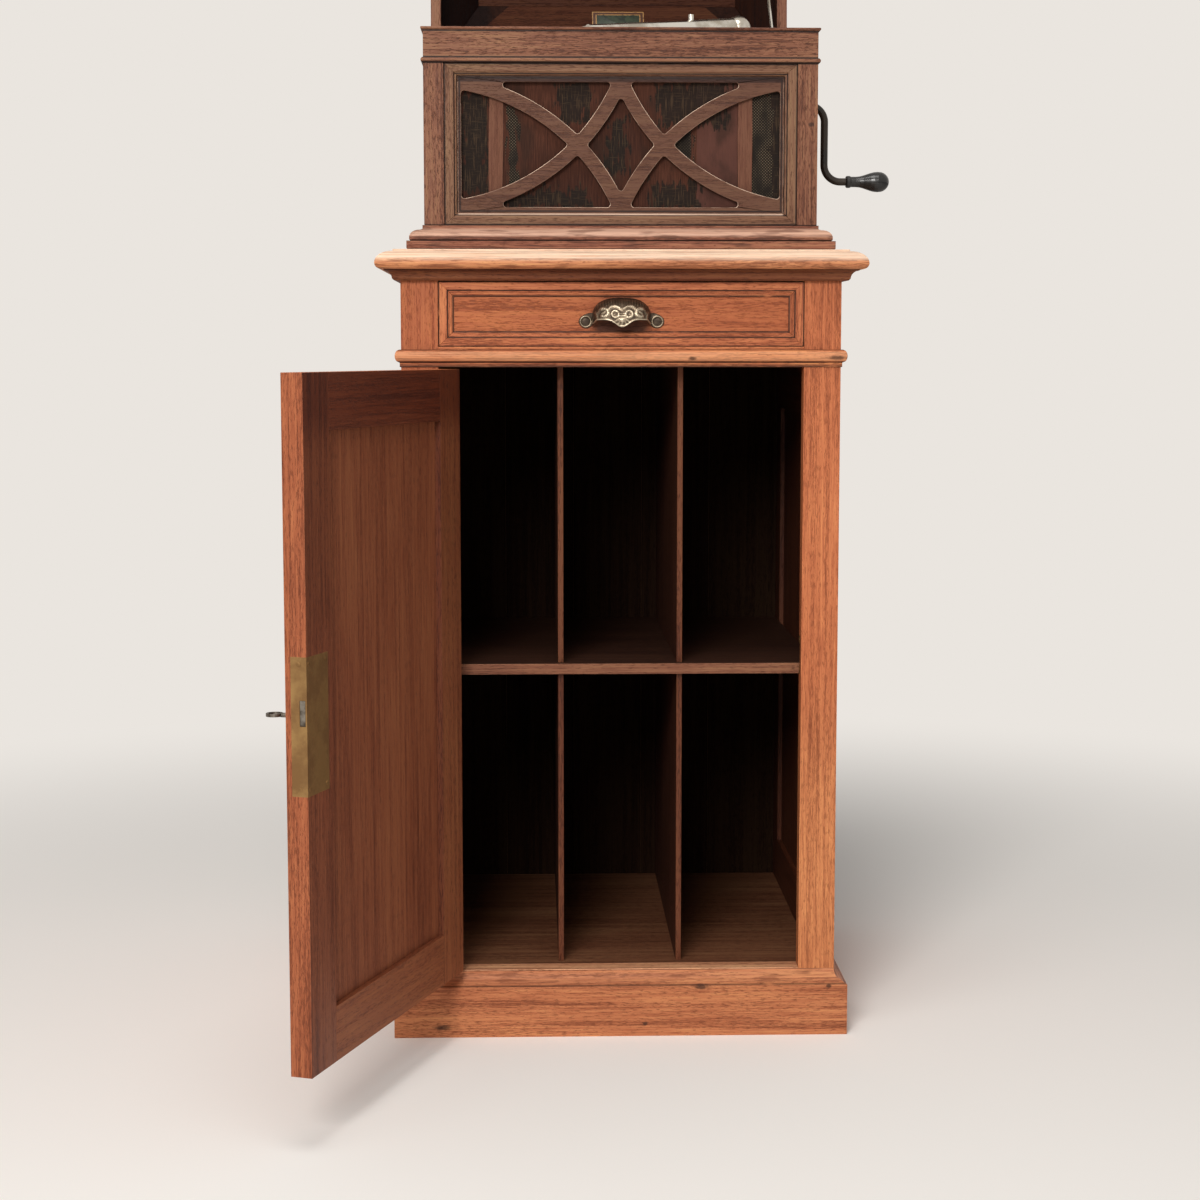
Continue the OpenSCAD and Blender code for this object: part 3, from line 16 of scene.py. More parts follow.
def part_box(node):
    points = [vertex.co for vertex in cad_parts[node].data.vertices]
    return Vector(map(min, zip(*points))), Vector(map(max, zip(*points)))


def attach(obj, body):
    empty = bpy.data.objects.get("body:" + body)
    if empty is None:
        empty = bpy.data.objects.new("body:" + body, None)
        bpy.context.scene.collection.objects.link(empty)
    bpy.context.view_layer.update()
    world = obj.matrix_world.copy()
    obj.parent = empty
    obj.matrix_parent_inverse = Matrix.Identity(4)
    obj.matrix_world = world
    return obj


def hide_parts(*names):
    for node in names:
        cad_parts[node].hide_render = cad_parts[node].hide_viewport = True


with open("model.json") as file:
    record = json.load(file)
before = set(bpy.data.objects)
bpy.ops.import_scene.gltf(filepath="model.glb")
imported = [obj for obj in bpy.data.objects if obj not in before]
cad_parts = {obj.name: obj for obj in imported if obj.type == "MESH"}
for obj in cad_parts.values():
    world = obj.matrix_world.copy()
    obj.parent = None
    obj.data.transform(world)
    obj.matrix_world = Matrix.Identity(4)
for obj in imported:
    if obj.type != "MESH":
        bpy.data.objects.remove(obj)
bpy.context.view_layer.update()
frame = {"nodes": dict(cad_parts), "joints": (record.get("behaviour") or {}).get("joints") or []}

MM = 0.001
nodes = frame["nodes"]
joints = {joint["name"]: joint for joint in frame["joints"]}


# ---- places in the frame ----

def swing(joint_name, axis):
    """Where a hinged body's closed coordinates go at rest: (hinge point, angle, matrix)."""
    point = Vector(joints[joint_name]["pos_m"])
    angle = -math.radians(joints[joint_name]["range_deg"][1])
    turn = Matrix.Rotation(angle, 4, axis)
    return point, angle, Matrix.Translation(point) @ turn @ Matrix.Translation(-point)


DOOR_PIN, DOOR_ANGLE, DOOR = swing("door_hinge", "Z")
LID_PIN, LID_ANGLE, LID = swing("lid_hinge", "X")


def along(point, direction):
    """A frame with its origin at a point and its Z axis along a direction."""
    turn = Vector(direction).to_track_quat("Z", "Y")
    return Matrix.Translation(Vector(point)) @ turn.to_matrix().to_4x4()


# ---- material nodes ----

def srgb(*channels):
    """Linear colour of red, green and blue written as 0 to 255."""
    return (*[c / 255 / 12.92 if c < 11 else ((c / 255 + 0.055) / 1.055) ** 2.4 for c in channels], 1.0)


def scaled(colour, *factors):
    """A colour times one factor for each channel."""
    return (*[min(1.0, c * f) for c, f in zip(colour, factors)], 1.0)


class Value:
    """A node's output, to reckon with like a number; points and colours go channel by channel."""

    def __init__(self, tree, socket):
        self.tree, self.socket = tree, socket

    def reckon(self, operation, *others, last=False):
        maker = self.tree.vector if self.socket.type in ("VECTOR", "RGBA") else self.tree.math
        return maker(operation, *others, self) if last else maker(operation, self, *others)

    __add__ = partialmethod(reckon, "ADD")
    __sub__ = partialmethod(reckon, "SUBTRACT")
    __mul__ = partialmethod(reckon, "MULTIPLY")
    __truediv__ = partialmethod(reckon, "DIVIDE")
    __lt__ = partialmethod(reckon, "LESS_THAN")
    __gt__ = partialmethod(reckon, "GREATER_THAN")
    __abs__ = partialmethod(reckon, "ABSOLUTE")
    __neg__ = partialmethod(reckon, "MULTIPLY", -1.0)
    __radd__ = partialmethod(reckon, "ADD", last=True)
    __rsub__ = partialmethod(reckon, "SUBTRACT", last=True)


class Nodes:
    """A node tree, written with short calls. What feeds an input is a number, a tuple or a Value."""

    def __init__(self, tree):
        self.nodes, self.links = tree.nodes, tree.links
        self.nodes.clear()

    def feed(self, socket, value):
        if isinstance(value, Value):
            self.links.new(value.socket, socket)
        else:
            socket.default_value = value

    def add(self, kind, inputs=(), **settings):
        """A new node. Its inputs are pairs: a name or number, and what feeds it."""
        node = self.nodes.new(kind)
        for key, value in settings.items():
            setattr(node, key, value)
        for key, value in inputs:
            self.feed(node.inputs[key], value)
        return node

    def value(self, kind, inputs=(), output=0, **settings):
        """One output of a new node."""
        return Value(self, self.add(kind, inputs, **settings).outputs[output])

    def math(self, operation, *values):
        return self.value("ShaderNodeMath", enumerate(values), operation=operation)

    def vector(self, operation, *values):
        return self.value("ShaderNodeVectorMath", enumerate(values), operation=operation)

    def largest(self, values):
        return reduce(partial(self.math, "MAXIMUM"), values)

    def length(self, a, b):
        return self.math("SQRT", a * a + b * b)

    def step(self, value, low, high):
        """0 below low, 1 above high, smooth between; the other way round where low is the larger."""
        inputs = [("Value", value), ("From Min", low), ("From Max", high)]
        return self.value("ShaderNodeMapRange", inputs, interpolation_type="SMOOTHSTEP")


class Tree(Nodes):
    """A material's nodes; constants go to its shader's own sockets."""

    def __init__(self, name, **constants):
        self.material = bpy.data.materials.new(name)
        self.material.use_nodes = True
        super().__init__(self.material.node_tree)
        self.shader = self.add("ShaderNodeBsdfPrincipled")
        self.surface = Value(self, self.shader.outputs[0])
        self.out = self.add("ShaderNodeOutputMaterial", [("Surface", self.surface)])
        for key, value in constants.items():
            self.set(key.replace("_", " "), value)

    def set(self, name, value):
        """Feeds one of the shader's own sockets."""
        self.feed(self.shader.inputs[name], value)

    def object_point(self):
        return self.value("ShaderNodeTexCoord", output="Object")

    def normal(self):
        return self.value("ShaderNodeTexCoord", output="Normal")

    def alignment(self, a, b, low, high):
        """A step over how far two directions agree."""
        dot = self.value("ShaderNodeVectorMath", enumerate((a, b)), "Value", operation="DOT_PRODUCT")
        return self.step(dot, low, high)

    def facing(self, direction):
        """1 on faces that look along a direction, in the frame at rest."""
        return self.alignment(self.normal(), tuple(direction), 0.55, 0.75)

    def arris(self, radius):
        """1 along edges, 0 on flat faces."""
        rounded = self.value("ShaderNodeBevel", [("Radius", radius)], samples=4)
        return self.alignment(rounded, self.value("ShaderNodeNewGeometry", output="True Normal"), 0.99, 0.9)

    def turned_back(self, vector, pin, rotation):
        """A vector or a point less the pin, turned as its hinged body turns to close."""
        inputs = [("Vector", vector), ("Location", pin), ("Rotation", rotation)]
        return self.value("ShaderNodeMapping", inputs, vector_type="TEXTURE")

    def split(self, point):
        node = self.add("ShaderNodeSeparateXYZ", [(0, point)])
        return {axis: Value(self, output) for axis, output in zip("xyz", node.outputs)}

    def join(self, x, y, z):
        return self.value("ShaderNodeCombineXYZ", enumerate((x, y, z)))

    def noise(self, at, scale=1.0, detail=2.0, rough=0.5, distortion=0.0):
        inputs = [("Vector", at), ("Scale", scale), ("Detail", detail), ("Roughness", rough),
                  ("Distortion", distortion)]
        return self.value("ShaderNodeTexNoise", inputs, "Fac")

    def mix(self, factor, a, b):
        inputs = [("Factor", factor), (6, a), (7, b)]
        return self.value("ShaderNodeMix", inputs, 2, data_type="RGBA")

    def ramp(self, value, *stops):
        node = self.add("ShaderNodeValToRGB", [(0, value)])
        elements = node.color_ramp.elements
        while len(elements) < len(stops):
            elements.new(0.5)
        for element, (position, colour) in zip(elements, stops):
            element.position = position
            element.color = colour
        return Value(self, node.outputs[0])

    def bump(self, height, distance, strength):
        inputs = [("Height", height), ("Distance", distance), ("Strength", strength)]
        self.set("Normal", self.value("ShaderNodeBump", inputs))


# ---- wood ----

CABINET = srgb(192, 112, 71)  # stained orange brown, faded
CASE = srgb(121, 77, 56)  # stained dark, worn brown grey
# dark colour of dirt, and of painted shadow lines and the painted shadow under the pull
DIRT_AND_SHADE = srgb(30, 15, 10)
ACROSS = {"x": "yzx", "y": "xzy", "z": "xyz"}  # two directions across the grain, then along it


def fibre_space(t, p, grain):
    return t.join(*[p[axis] for axis in ACROSS[grain]])


def layer(q, across, length):
    """Wood space measured in features of so many millimetres across and along the grain."""
    return q * (1000 / across, 1000 / across, 1000 / length)


def inside(p, **ranges):
    """1 where every axis named is in its range."""
    return reduce(mul, [abs(p[axis] - (a + b) / 2) < (b - a) / 2 for axis, (a, b) in ranges.items()])


def wood(name, tone, grain="z", cross=None, mask=None, closed=None, seed=0.0, boards=(), figure=0.0,
         pores=0.7, contrast=1.0, rough=0.55, specular=0.25, wear=0.65, arris=1.1 * MM, marks=()):
    """Oak with bands, fibres, open pores and ray flecks along its grain.

    Where the mask is 1 the grain runs along cross. Boards that differ are (axis, pitch, start).
    """
    t = Tree(name, Specular_IOR_Level=specular)
    point = t.object_point()
    if closed:
        point = t.turned_back(point, *closed) + tuple(closed[0])
    p = t.split(point)
    q = fibre_space(t, p, grain)
    if mask:
        factor = mask(t, p)
        inputs = [("Factor", factor), (4, q), (5, fibre_space(t, p, cross))]
        q = t.value("ShaderNodeMix", inputs, 1, data_type="VECTOR")
        q += t.join(factor, factor, factor) * (3.1, 1.7, 0.6)
    q += seed * 1.31, seed * 0.77, seed * 2.13
    shade = 0.0
    for axis, pitch, start in boards:
        index = t.math("FLOOR", (p[axis] - start) / pitch)
        q += t.join(index, index, index) * (2.7, 4.3, 1.9)
        random = t.value("ShaderNodeTexWhiteNoise", [("W", index + (seed + 0.5))], noise_dimensions="1D")
        shade += (random - 0.5) * 0.22

    clouds = t.noise(layer(q, 60, 240), detail=2)
    bands = t.noise(layer(q, 7, 380), detail=2, distortion=0.4)
    fibres = t.noise(layer(q, 1.9, 52), detail=3, rough=0.7, distortion=0.25)
    strokes = t.noise(layer(q, 1.1, 9), detail=2, rough=0.65)
    pore = t.step(strokes + (0.5 - bands) * 0.45, 0.54, 0.63)

    value = 0.5
    for wave, weight in ((clouds, 0.5), (bands, 0.55), (fibres, 1.15)):
        value += (wave - 0.5) * (weight * contrast)
    colour = t.ramp(
        value + shade, (0.2, scaled(tone, 0.45, 0.36, 0.33)), (0.42, scaled(tone, 0.86, 0.8, 0.78)),
        (0.58, scaled(tone, 1.06, 1.12, 1.1)), (0.82, scaled(tone, 1.28, 1.55, 1.45)))
    if figure:
        tilted = q + t.join(t.split(q)["z"] * 0.35, 0.0, 0.0)
        flecks = t.noise(layer(tilted, 3.0, 34), detail=2, distortion=1.2)
        colour = t.mix(t.step(flecks, 0.55, 0.66) * figure, colour, scaled(tone, 1.35, 1.42, 1.4))
    colour = t.mix(pore * pores, colour, scaled(tone, 0.34, 0.26, 0.22))
    rubbed = t.step(t.noise(layer(q, 16, 60), detail=3, rough=0.65), 0.4, 0.62)
    colour = t.mix(t.arris(arris) * rubbed * wear, colour, scaled(tone, 1.5, 1.75, 1.95))
    for paint in marks:
        colour = paint(t, p, colour)
    t.set("Base Color", colour)
    t.set("Roughness", (rough - 0.08) + fibres * 0.16)
    t.bump(fibres * 0.5 - pore * 0.8, 0.35 * MM, 0.7)
    return t.material


# ---- marks on the wood ----

def mark(paint):
    """A mark is named with its own values; wood() then calls it with tree, point and colour."""
    return lambda *values: partial(paint, *values)


def patches(t, p, size, low, high, **settings):
    """A step over noise; the size is how often it repeats in a metre along each axis."""
    return t.step(t.noise(t.join(*p.values()) * size, **settings), low, high)


def near_level(t, p, low, high, core):
    """1 between two heights, fading outside a core that is a share of the whole."""
    half = (high - low) / 2
    return t.step(abs(p["z"] - (low + high) / 2), half, half * core)


@mark
def knot(x, z, half_x, half_z, t, p, colour):
    """A dark knot on a face towards the front; millimetres."""
    off = t.length((p["x"] - x * MM) / (half_x * MM), (p["z"] - z * MM) / (half_z * MM))
    far = off + (t.noise(t.join(*p.values()), 240, detail=3) * 0.9 - 0.45)
    return t.mix(t.step(far, 1.15, 0.35) * 0.8, colour, srgb(48, 26, 18))


@mark
def wear_and_highlight_level(low, high, pale, amount, t, p, colour):
    """A paler level between two heights: wear, and a painted highlight where a top faces the light."""
    factor = near_level(t, p, low, high, 0.45) * patches(t, p, (9, 9, 800), 0.15, 0.6, detail=4, rough=0.6)
    return t.mix(factor * amount, colour, pale)


@mark
def stained_level(low, high, dark, amount, t, p, colour):
    """Dark patches between two heights, long along the piece."""
    factor = near_level(t, p, low, high, 0.5) * patches(t, p, (26, 26, 210), 0.5, 0.66, detail=3)
    return t.mix(factor * amount, colour, dark)


@mark
def corner_dirt_and_shade(reach, amount, t, p, colour):
    """Old polish and dirt in the corners, with painted shade there from ambient occlusion, within a reach in
    millimetres.
    """
    openness = t.value("ShaderNodeAmbientOcclusion", [("Distance", reach * MM)], "AO", samples=6)
    return t.mix(t.step(openness, 0.75, 0.2) * amount, colour, srgb(40, 20, 13))


@mark
def line_level(height, half, amount, t, p, colour):
    """A dark line at a height, so many millimetres to each side: dirt in a groove or a joint, and painted
    shadow under a moulding's edge.
    """
    near = t.step(abs(p["z"] - height), half * MM, half * MM * 0.4)
    broken = t.step(t.noise(t.join(p["x"] * 30, p["y"] * 30, 0.5)), 0.2, 0.42)
    return t.mix(near * broken * amount, colour, DIRT_AND_SHADE)


@mark
def outlined(node, inset, width, amount, t, p, colour):
    """A dark line round a node's front, inside its edge; millimetres: dirt at a joint, and painted shadow
    where a frame or moulding steps back.
    """
    low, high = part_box(node)
    reach = [abs(p[axis] - (a + b) / 2) - ((b - a) / 2 - inset * MM)
             for axis, a, b in (("x", low.x, high.x), ("z", low.z, high.z))]
    near = t.step(abs(t.largest(reach)), width * MM, width * MM * 0.3)
    return t.mix(near * patches(t, p, (45, 45, 45), 0.15, 0.42, detail=2) * amount, colour, DIRT_AND_SHADE)


@mark
def toned(factor, ratio, t, p, colour):
    """Another tone where a factor is 1, with the grain showing through."""
    return t.mix(factor(t, p), colour, colour * ratio)


def facing(direction, ratio):
    """Another tone on the faces that look along a direction."""
    return toned(lambda t, p: t.facing(direction), ratio)


def behind(y, ratio):
    """Painted shade: another tone on what lies further back than a depth."""
    return toned(lambda t, p: t.step(p["y"], y, y + 2 * MM), ratio)


def sill_wear_and_highlight(t, p, colour):
    """Pale wood on the moulding along the lower edge of the grille's opening: wear, and a painted highlight
    where the sill faces up into the light.
    """
    within = t.step(abs(p["x"]), grille_high.x - 14 * MM, grille_high.x - 17 * MM)
    pale = wear_and_highlight_level(grille_low.z + 11 * MM, grille_low.z + 16 * MM, srgb(206, 174, 152), 0.9)
    return t.mix(within, colour, pale(t, p, colour))


def edge_wear_and_highlight(t, p, colour):
    """Pale wood along the rounded edges of a face that looks to the front, mostly where they look up: wear,
    and a painted highlight on the edges that face the light.
    """
    normal = t.split(t.normal())
    slant = abs(normal["y"])
    edge = t.step(slant, 0.985, 0.93) * t.step(slant, 0.12, 0.3)
    patchy = patches(t, p, (60, 60, 60), 0.35, 0.55, detail=3)
    amount = edge * t.step(normal["z"], -0.5, 0.2) * (patchy * 0.7 + 0.2)
    return t.mix(amount, colour, srgb(226, 196, 172))


def pull_dirt_and_shadow(t, p, colour):
    """Dirt round and under the pull, and the painted shadow of the cup under it."""
    low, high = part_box("pull_screws")
    far = t.length(p["x"] / (40 * MM), (p["z"] - ((low.z + high.z) / 2 - 4 * MM)) / (15 * MM))
    ragged = (t.noise(t.object_point(), 90, detail=3) - 0.5) * 0.5
    return t.mix(t.step(far + ragged, 1.15, 0.6) * 0.8, colour, DIRT_AND_SHADE)


# ---- where on a node: 1 there, 0 elsewhere ----

side_low, side_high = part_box("side_right")
slab_low, slab_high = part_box("top_slab")
plinth_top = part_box("plinth")[1].z
waist_low, waist_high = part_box("waist_moulding")
base_low, base_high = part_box("gramophone_base")
post_low, post_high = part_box("case_posts")
band_low, band_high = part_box("case_band")
grille_low, grille_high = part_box("grille_frame")
lid_low, lid_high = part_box("lid_frame")

FAR = 2.0  # deeper than every part
SIDE_STILE = 58 * MM
SIDE_PANEL = (134 * MM, 720 * MM)  # its height in the cabinet's sides
DOOR_HOLLOW = {"x": (-147 * MM, 147 * MM), "z": (136 * MM, 718.1 * MM)}  # round the shut door's panel
LID_CORNER = -158 * MM
lid_depth = lid_high.z - lid_low.z  # it stands open here
lid_middle = LID_PIN.y - lid_depth / 2
lid_hollow = LID_PIN.z + 20 * MM  # above this, a face that looks down is inside the lid
door_in = (-math.sin(DOOR_ANGLE), math.cos(DOOR_ANGLE), 0)
door_edge = (math.cos(DOOR_ANGLE), math.sin(DOOR_ANGLE), 0)


def mitre(axis, half_x, low, high):
    """The pieces that run along an axis in a mitred frame of this size; the others run along x."""
    return lambda t, p: abs(p["x"]) - half_x > abs(p[axis] - (low + high) / 2) - (high - low) / 2


def ring(node, axis):
    """Those of a frame that is mitred at its four corners."""
    low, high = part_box(node)
    return mitre(axis, high.x, getattr(low, axis), getattr(high, axis))


def front_ring(node):
    """Those of a moulding that is mitred at its front corners only."""
    low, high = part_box(node)
    return mitre("y", high.x, low.y, low.y + FAR)


door_ring = mitre("z", DOOR_HOLLOW["x"][1], *DOOR_HOLLOW["z"])
lid_ring = mitre("y", lid_high.x, LID_PIN.y - lid_depth, LID_PIN.y)


def lid_inside(t, p):
    """The faces that look into the shut lid's hollow."""
    normal = t.split(t.turned_back(t.normal(), (0, 0, 0), (LID_ANGLE, 0, 0)))
    inward = [-(normal["x"] * t.math("SIGN", p["x"])), -(normal["y"] * t.math("SIGN", p["y"] - lid_middle)),
              -normal["z"] * t.step(p["z"], lid_hollow, lid_hollow + 3 * MM)]
    return t.step(t.largest(inward), 0.4, 0.6)


def lid_ends(t, p):
    """The inner faces of the lid's two ends."""
    return lid_ring(t, p) * lid_inside(t, p)


def lid_corner(t, p):
    """The open lid's left corner, where its end keeps the light off."""
    return t.step(p["x"], LID_CORNER + 8 * MM, LID_CORNER - 4 * MM) * lid_inside(t, p)


def side_rails(t, p):
    """The rails of the cabinet's sides."""
    between = inside(p, y=(side_low.y + SIDE_STILE, side_high.y - SIDE_STILE))
    return between * (1.0 - inside(p, z=SIDE_PANEL))


def hollow_side(t, p):
    """What a side of the cabinet shows inside, down to its panel; its rear edge stays as it is."""
    middle, rear = (side_low.x + side_high.x) / 2, side_high.y - 1 * MM
    return t.step(abs(p["x"]), middle, middle - 1 * MM) * t.step(p["y"], rear, rear - 0.5 * MM)


def low_part(t, p):
    """Near the floor, where the stiles are paler."""
    return t.step(p["z"], 460 * MM, 220 * MM)


def under_frame(t, p):
    """The strip of the fretwork that the frame's upper rail keeps the light off."""
    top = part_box("grille_fret")[1].z
    return t.step(p["z"], top - 8 * MM, top - 6 * MM)


def back_wall(t, p):
    """The gramophone's rear wall."""
    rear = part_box("case_walls")[1].y
    return t.step(p["y"], rear - 14 * MM, rear - 13 * MM)


def hollow_edge(axis):
    """Painted shade on the edges round the hollow in front of the door's panel, on its inner side."""
    low, high = DOOR_HOLLOW[axis]
    middle, half = (low + high) / 2, (high - low) / 2
    return toned(lambda t, p: t.step(abs(p[axis] - middle), half + 0.4 * MM, half + 0.1 * MM)
                 * t.step(p["y"], 8 * MM, 9 * MM), (0.33, 0.28, 0.3))


def door_shade(low, high, ratio):
    """Painted shade that grows between two heights on the door's inner side; millimetres."""
    return toned(lambda t, p: t.step(p["z"], low * MM, high * MM) * t.facing(door_in), ratio)


# ---- which wood each node is ----

INDOORS = (0.46, 0.44, 0.48)  # the door's inner face, out of the light
BY_SIDE = ("x", 1.0, 0.0)  # the left and the right are different boards
DOOR_OAK = dict(tone=CABINET, closed=(DOOR_PIN, (0, 0, DOOR_ANGLE)))
LID_OAK = dict(tone=CASE, grain="x", closed=(LID_PIN, (LID_ANGLE, 0, 0)))


def mitred(cross, mask, **finish):
    """Oak with its grain along x, and along cross where the mask is 1."""
    return dict(grain="x", cross=cross, mask=mask, **finish)


# the pale levels here are wear and a painted highlight on tops that face the light
slab_marks = [
    wear_and_highlight_level(slab_low.z + 7 * MM, slab_high.z + 12 * MM, srgb(250, 224, 198), 0.8),
    stained_level(slab_low.z - 2 * MM, slab_low.z + 12 * MM, srgb(126, 72, 46), 0.8)]
plinth_marks = [
    wear_and_highlight_level(plinth_top - 15 * MM, plinth_top, srgb(214, 156, 120), 0.2),
    stained_level(plinth_top - 15 * MM, plinth_top, srgb(120, 66, 42), 0.6),
    line_level(plinth_top - 15.5 * MM, 1.1, 0.6), line_level(plinth_top, 1.2, 0.7),
    knot(93, 58, 9, 4), knot(28, 15, 4, 3), knot(242, 58, 4, 3), knot(-208, 12, 12, 4)]
waist_marks = [
    wear_and_highlight_level(waist_low.z + 5 * MM, waist_high.z, srgb(230, 170, 126), 0.5),
    knot(80, 787, 6, 2.5), knot(246, 788, 14, 3), corner_dirt_and_shade(6, 0.8),
    line_level(waist_low.z + 0.6 * MM, 2.0, 0.8), line_level(waist_low.z + 5.6 * MM, 1.5, 0.85),
    line_level(waist_low.z + 2.9 * MM, 0.6, 0.5), line_level(waist_high.z, 1.2, 0.7)]
base_marks = [
    wear_and_highlight_level(base_high.z - 15 * MM, base_high.z - 2 * MM, srgb(214, 172, 148), 0.8),
    stained_level(base_low.z, base_low.z + 18 * MM, srgb(70, 40, 28), 0.7),
    stained_level(base_high.z - 17 * MM, base_high.z, srgb(104, 66, 50), 0.6), corner_dirt_and_shade(5, 0.7),
    line_level(base_low.z + 10 * MM, 0.9, 0.8), line_level(base_high.z, 1.0, 0.7)]
post_marks = [knot(216, 1051, 4, 3), line_level(post_low.z, 1.5, 0.8), line_level(post_high.z, 1.6, 0.9)]
band_lines = [
    line_level(band_high.z - 4.2 * MM, 1.3, 0.95), line_level(band_low.z + 6.0 * MM, 1.5, 0.95),
    line_level(band_low.z, 2.0, 0.95)]
border_lines = [outlined("drawer_border", *line, 0.85) for line in ((0.0, 1.5), (10.2, 1.3), (16.5, 1.7))]
grille_lines = [outlined("grille_frame", *line, 0.95) for line in ((0.0, 2.4), (11.5, 1.1), (15.4, 2.0))]
door_marks = [facing(door_in, INDOORS), facing(door_edge, (0.7, 0.67, 0.69))]
top_shade = door_shade(690, 740, (0.54, 0.4, 0.34))
WOODS = {
    "plinth": mitred("y", front_ring("plinth"), tone=srgb(184, 112, 74), marks=plinth_marks),
    # painted shade on the sides' faces inside the cabinet
    "side_left": dict(
        tone=CABINET, cross="y", mask=side_rails, seed=1, marks=[toned(hollow_side, (0.16, 0.13, 0.12))]),
    # painted shade: the left stile is made darker, as the light falls from the right; the low part is paler
    "front_stiles": dict(
        tone=CABINET, boards=[BY_SIDE], seed=3, figure=0.15, contrast=0.75, pores=0.5,
        marks=[toned(lambda t, p: p["x"] < 0.0, (0.69, 0.6, 0.59)), toned(low_part, (1.14, 1.36, 1.35))]),
    "front_rails": dict(tone=CABINET, grain="x", boards=[("z", 0.05, 0.78)], seed=4, marks=[corner_dirt_and_shade(9, 0.7)]),
    "waist_moulding": mitred(
        "y", front_ring("waist_moulding"), tone=srgb(186, 107, 67), seed=5, contrast=1.4, marks=waist_marks),
    # painted shade: the cove under the slab's overhang is given a much darker tone
    "cove_moulding": mitred(
        "y", front_ring("cove_moulding"), tone=scaled(CABINET, 0.3, 0.27, 0.25), seed=6,
        marks=[corner_dirt_and_shade(10, 0.9)]),
    "top_slab": dict(tone=srgb(198, 130, 88), grain="x", seed=7, marks=slab_marks),
    # painted shade inside the cabinet: the bottom board, shelf and dividers darken further back
    "bottom_board": dict(
        tone=srgb(203, 144, 108), grain="x", seed=8, rough=0.5, marks=[behind(24 * MM, (0.26, 0.22, 0.2))]),
    "shelf": dict(
        tone=srgb(126, 79, 56), grain="x", seed=9, marks=[behind(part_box("shelf")[0].y, (0.16, 0.14, 0.13))]),
    "dividers": dict(
        tone=srgb(94, 48, 27), seed=10, boards=[("x", 0.1386, -0.1386), ("z", 0.35, 0.077)],
        marks=[behind(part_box("dividers")[0].y, (0.45, 0.4, 0.4))]),
    # painted shade: the back boards' front faces are made near black, as in a dark interior
    "back_boards": dict(
        tone=srgb(116, 82, 58), boards=[("x", 0.092, -0.23)], seed=11, rough=0.8, specular=0.08,
        marks=[facing((0, -1, 0), (0.1, 0.08, 0.07))]),
    "dust_board": dict(tone=srgb(52, 34, 25), grain="x", seed=12, rough=0.8, specular=0.05),
    "drawer_runners": dict(tone=srgb(120, 80, 54), grain="y", seed=13, rough=0.75),
    "drawer_front": dict(
        tone=srgb(172, 95, 58), grain="x", seed=14, figure=0.25, contrast=0.75, pores=0.6,
        marks=[corner_dirt_and_shade(9, 0.6), pull_dirt_and_shadow]),
    "drawer_border": mitred(
        "z", ring("drawer_border", "z"), tone=srgb(180, 103, 66), seed=15, marks=border_lines),
    "drawer_box": dict(tone=srgb(176, 126, 84), grain="y", seed=16, rough=0.75, pores=0.35),
    "door_stiles": dict(
        DOOR_OAK, boards=[BY_SIDE], seed=17, contrast=0.8,
        marks=door_marks + [door_shade(330, 620, (0.78, 0.74, 0.7)), top_shade, hollow_edge("x")]),
    "door_rails": dict(
        DOOR_OAK, grain="x", boards=[("z", 0.3, 0.0)], seed=18, contrast=0.7, pores=0.5,
        marks=door_marks + [top_shade, hollow_edge("z")]),
    "door_panel": dict(DOOR_OAK, seed=19, figure=0.15, contrast=0.8, pores=0.45, marks=door_marks),
    "door_moulding": mitred("z", door_ring, **DOOR_OAK, seed=20, marks=[corner_dirt_and_shade(4, 0.9)]),
    "gramophone_base": mitred(
        "y", ring("gramophone_base", "y"), tone=srgb(140, 86, 64), seed=21, contrast=1.4, marks=base_marks),
    "case_posts": dict(
        tone=CASE, seed=22, contrast=1.4, pores=0.9, boards=[BY_SIDE, ("y", 0.3, 0.0)], figure=0.45,
        marks=post_marks),
    "case_walls": dict(tone=CASE, grain="y", cross="x", mask=back_wall, seed=23, figure=0.3),
    "case_band": mitred(
        "y", ring("case_band", "y"), tone=CASE, seed=24, figure=0.35, contrast=1.5, pores=0.95,
        arris=1.8 * MM, marks=band_lines),
    "grille_frame": mitred(
        "z", ring("grille_frame", "z"), tone=srgb(118, 82, 60), seed=25, marks=grille_lines + [sill_wear_and_highlight]),
    "grille_fret": dict(
        tone=srgb(90, 56, 40), grain="x", seed=26, pores=0.5, contrast=0.9, wear=0.9, arris=2.2 * MM,
        marks=[edge_wear_and_highlight, toned(under_frame, (0.34, 0.28, 0.27)), outlined("grille_fret", 2.6, 1.6, 0.9)]),
    "motor_board": dict(tone=srgb(96, 56, 40), grain="x", seed=28, rough=0.45),
    # painted shade inside the lid: its inner faces, its ends and its left corner are made much darker
    "lid_frame": dict(
        LID_OAK, cross="y", mask=lid_ring, seed=29, marks=[toned(lid_inside, (0.22, 0.18, 0.15))]),
    "lid_slopes": dict(
        LID_OAK, cross="y", mask=lid_ring, seed=30, figure=0.25, rough=0.65, specular=0.1,
        marks=[toned(lid_inside, (0.27, 0.2, 0.16)), toned(lid_ends, (0.3, 0.25, 0.22)),
               toned(lid_corner, (0.35, 0.24, 0.19))]),
    "lid_panel": dict(
        LID_OAK, seed=31, figure=0.3, rough=0.65, specular=0.1,
        marks=[toned(lid_inside, (0.24, 0.17, 0.13))]),
    "horn": dict(tone=srgb(170, 130, 84), grain="y", seed=32, rough=0.8, pores=0.2),
}
WOODS["side_right"] = dict(WOODS["side_left"], seed=2)


# ---- metals, cloth and felt ----

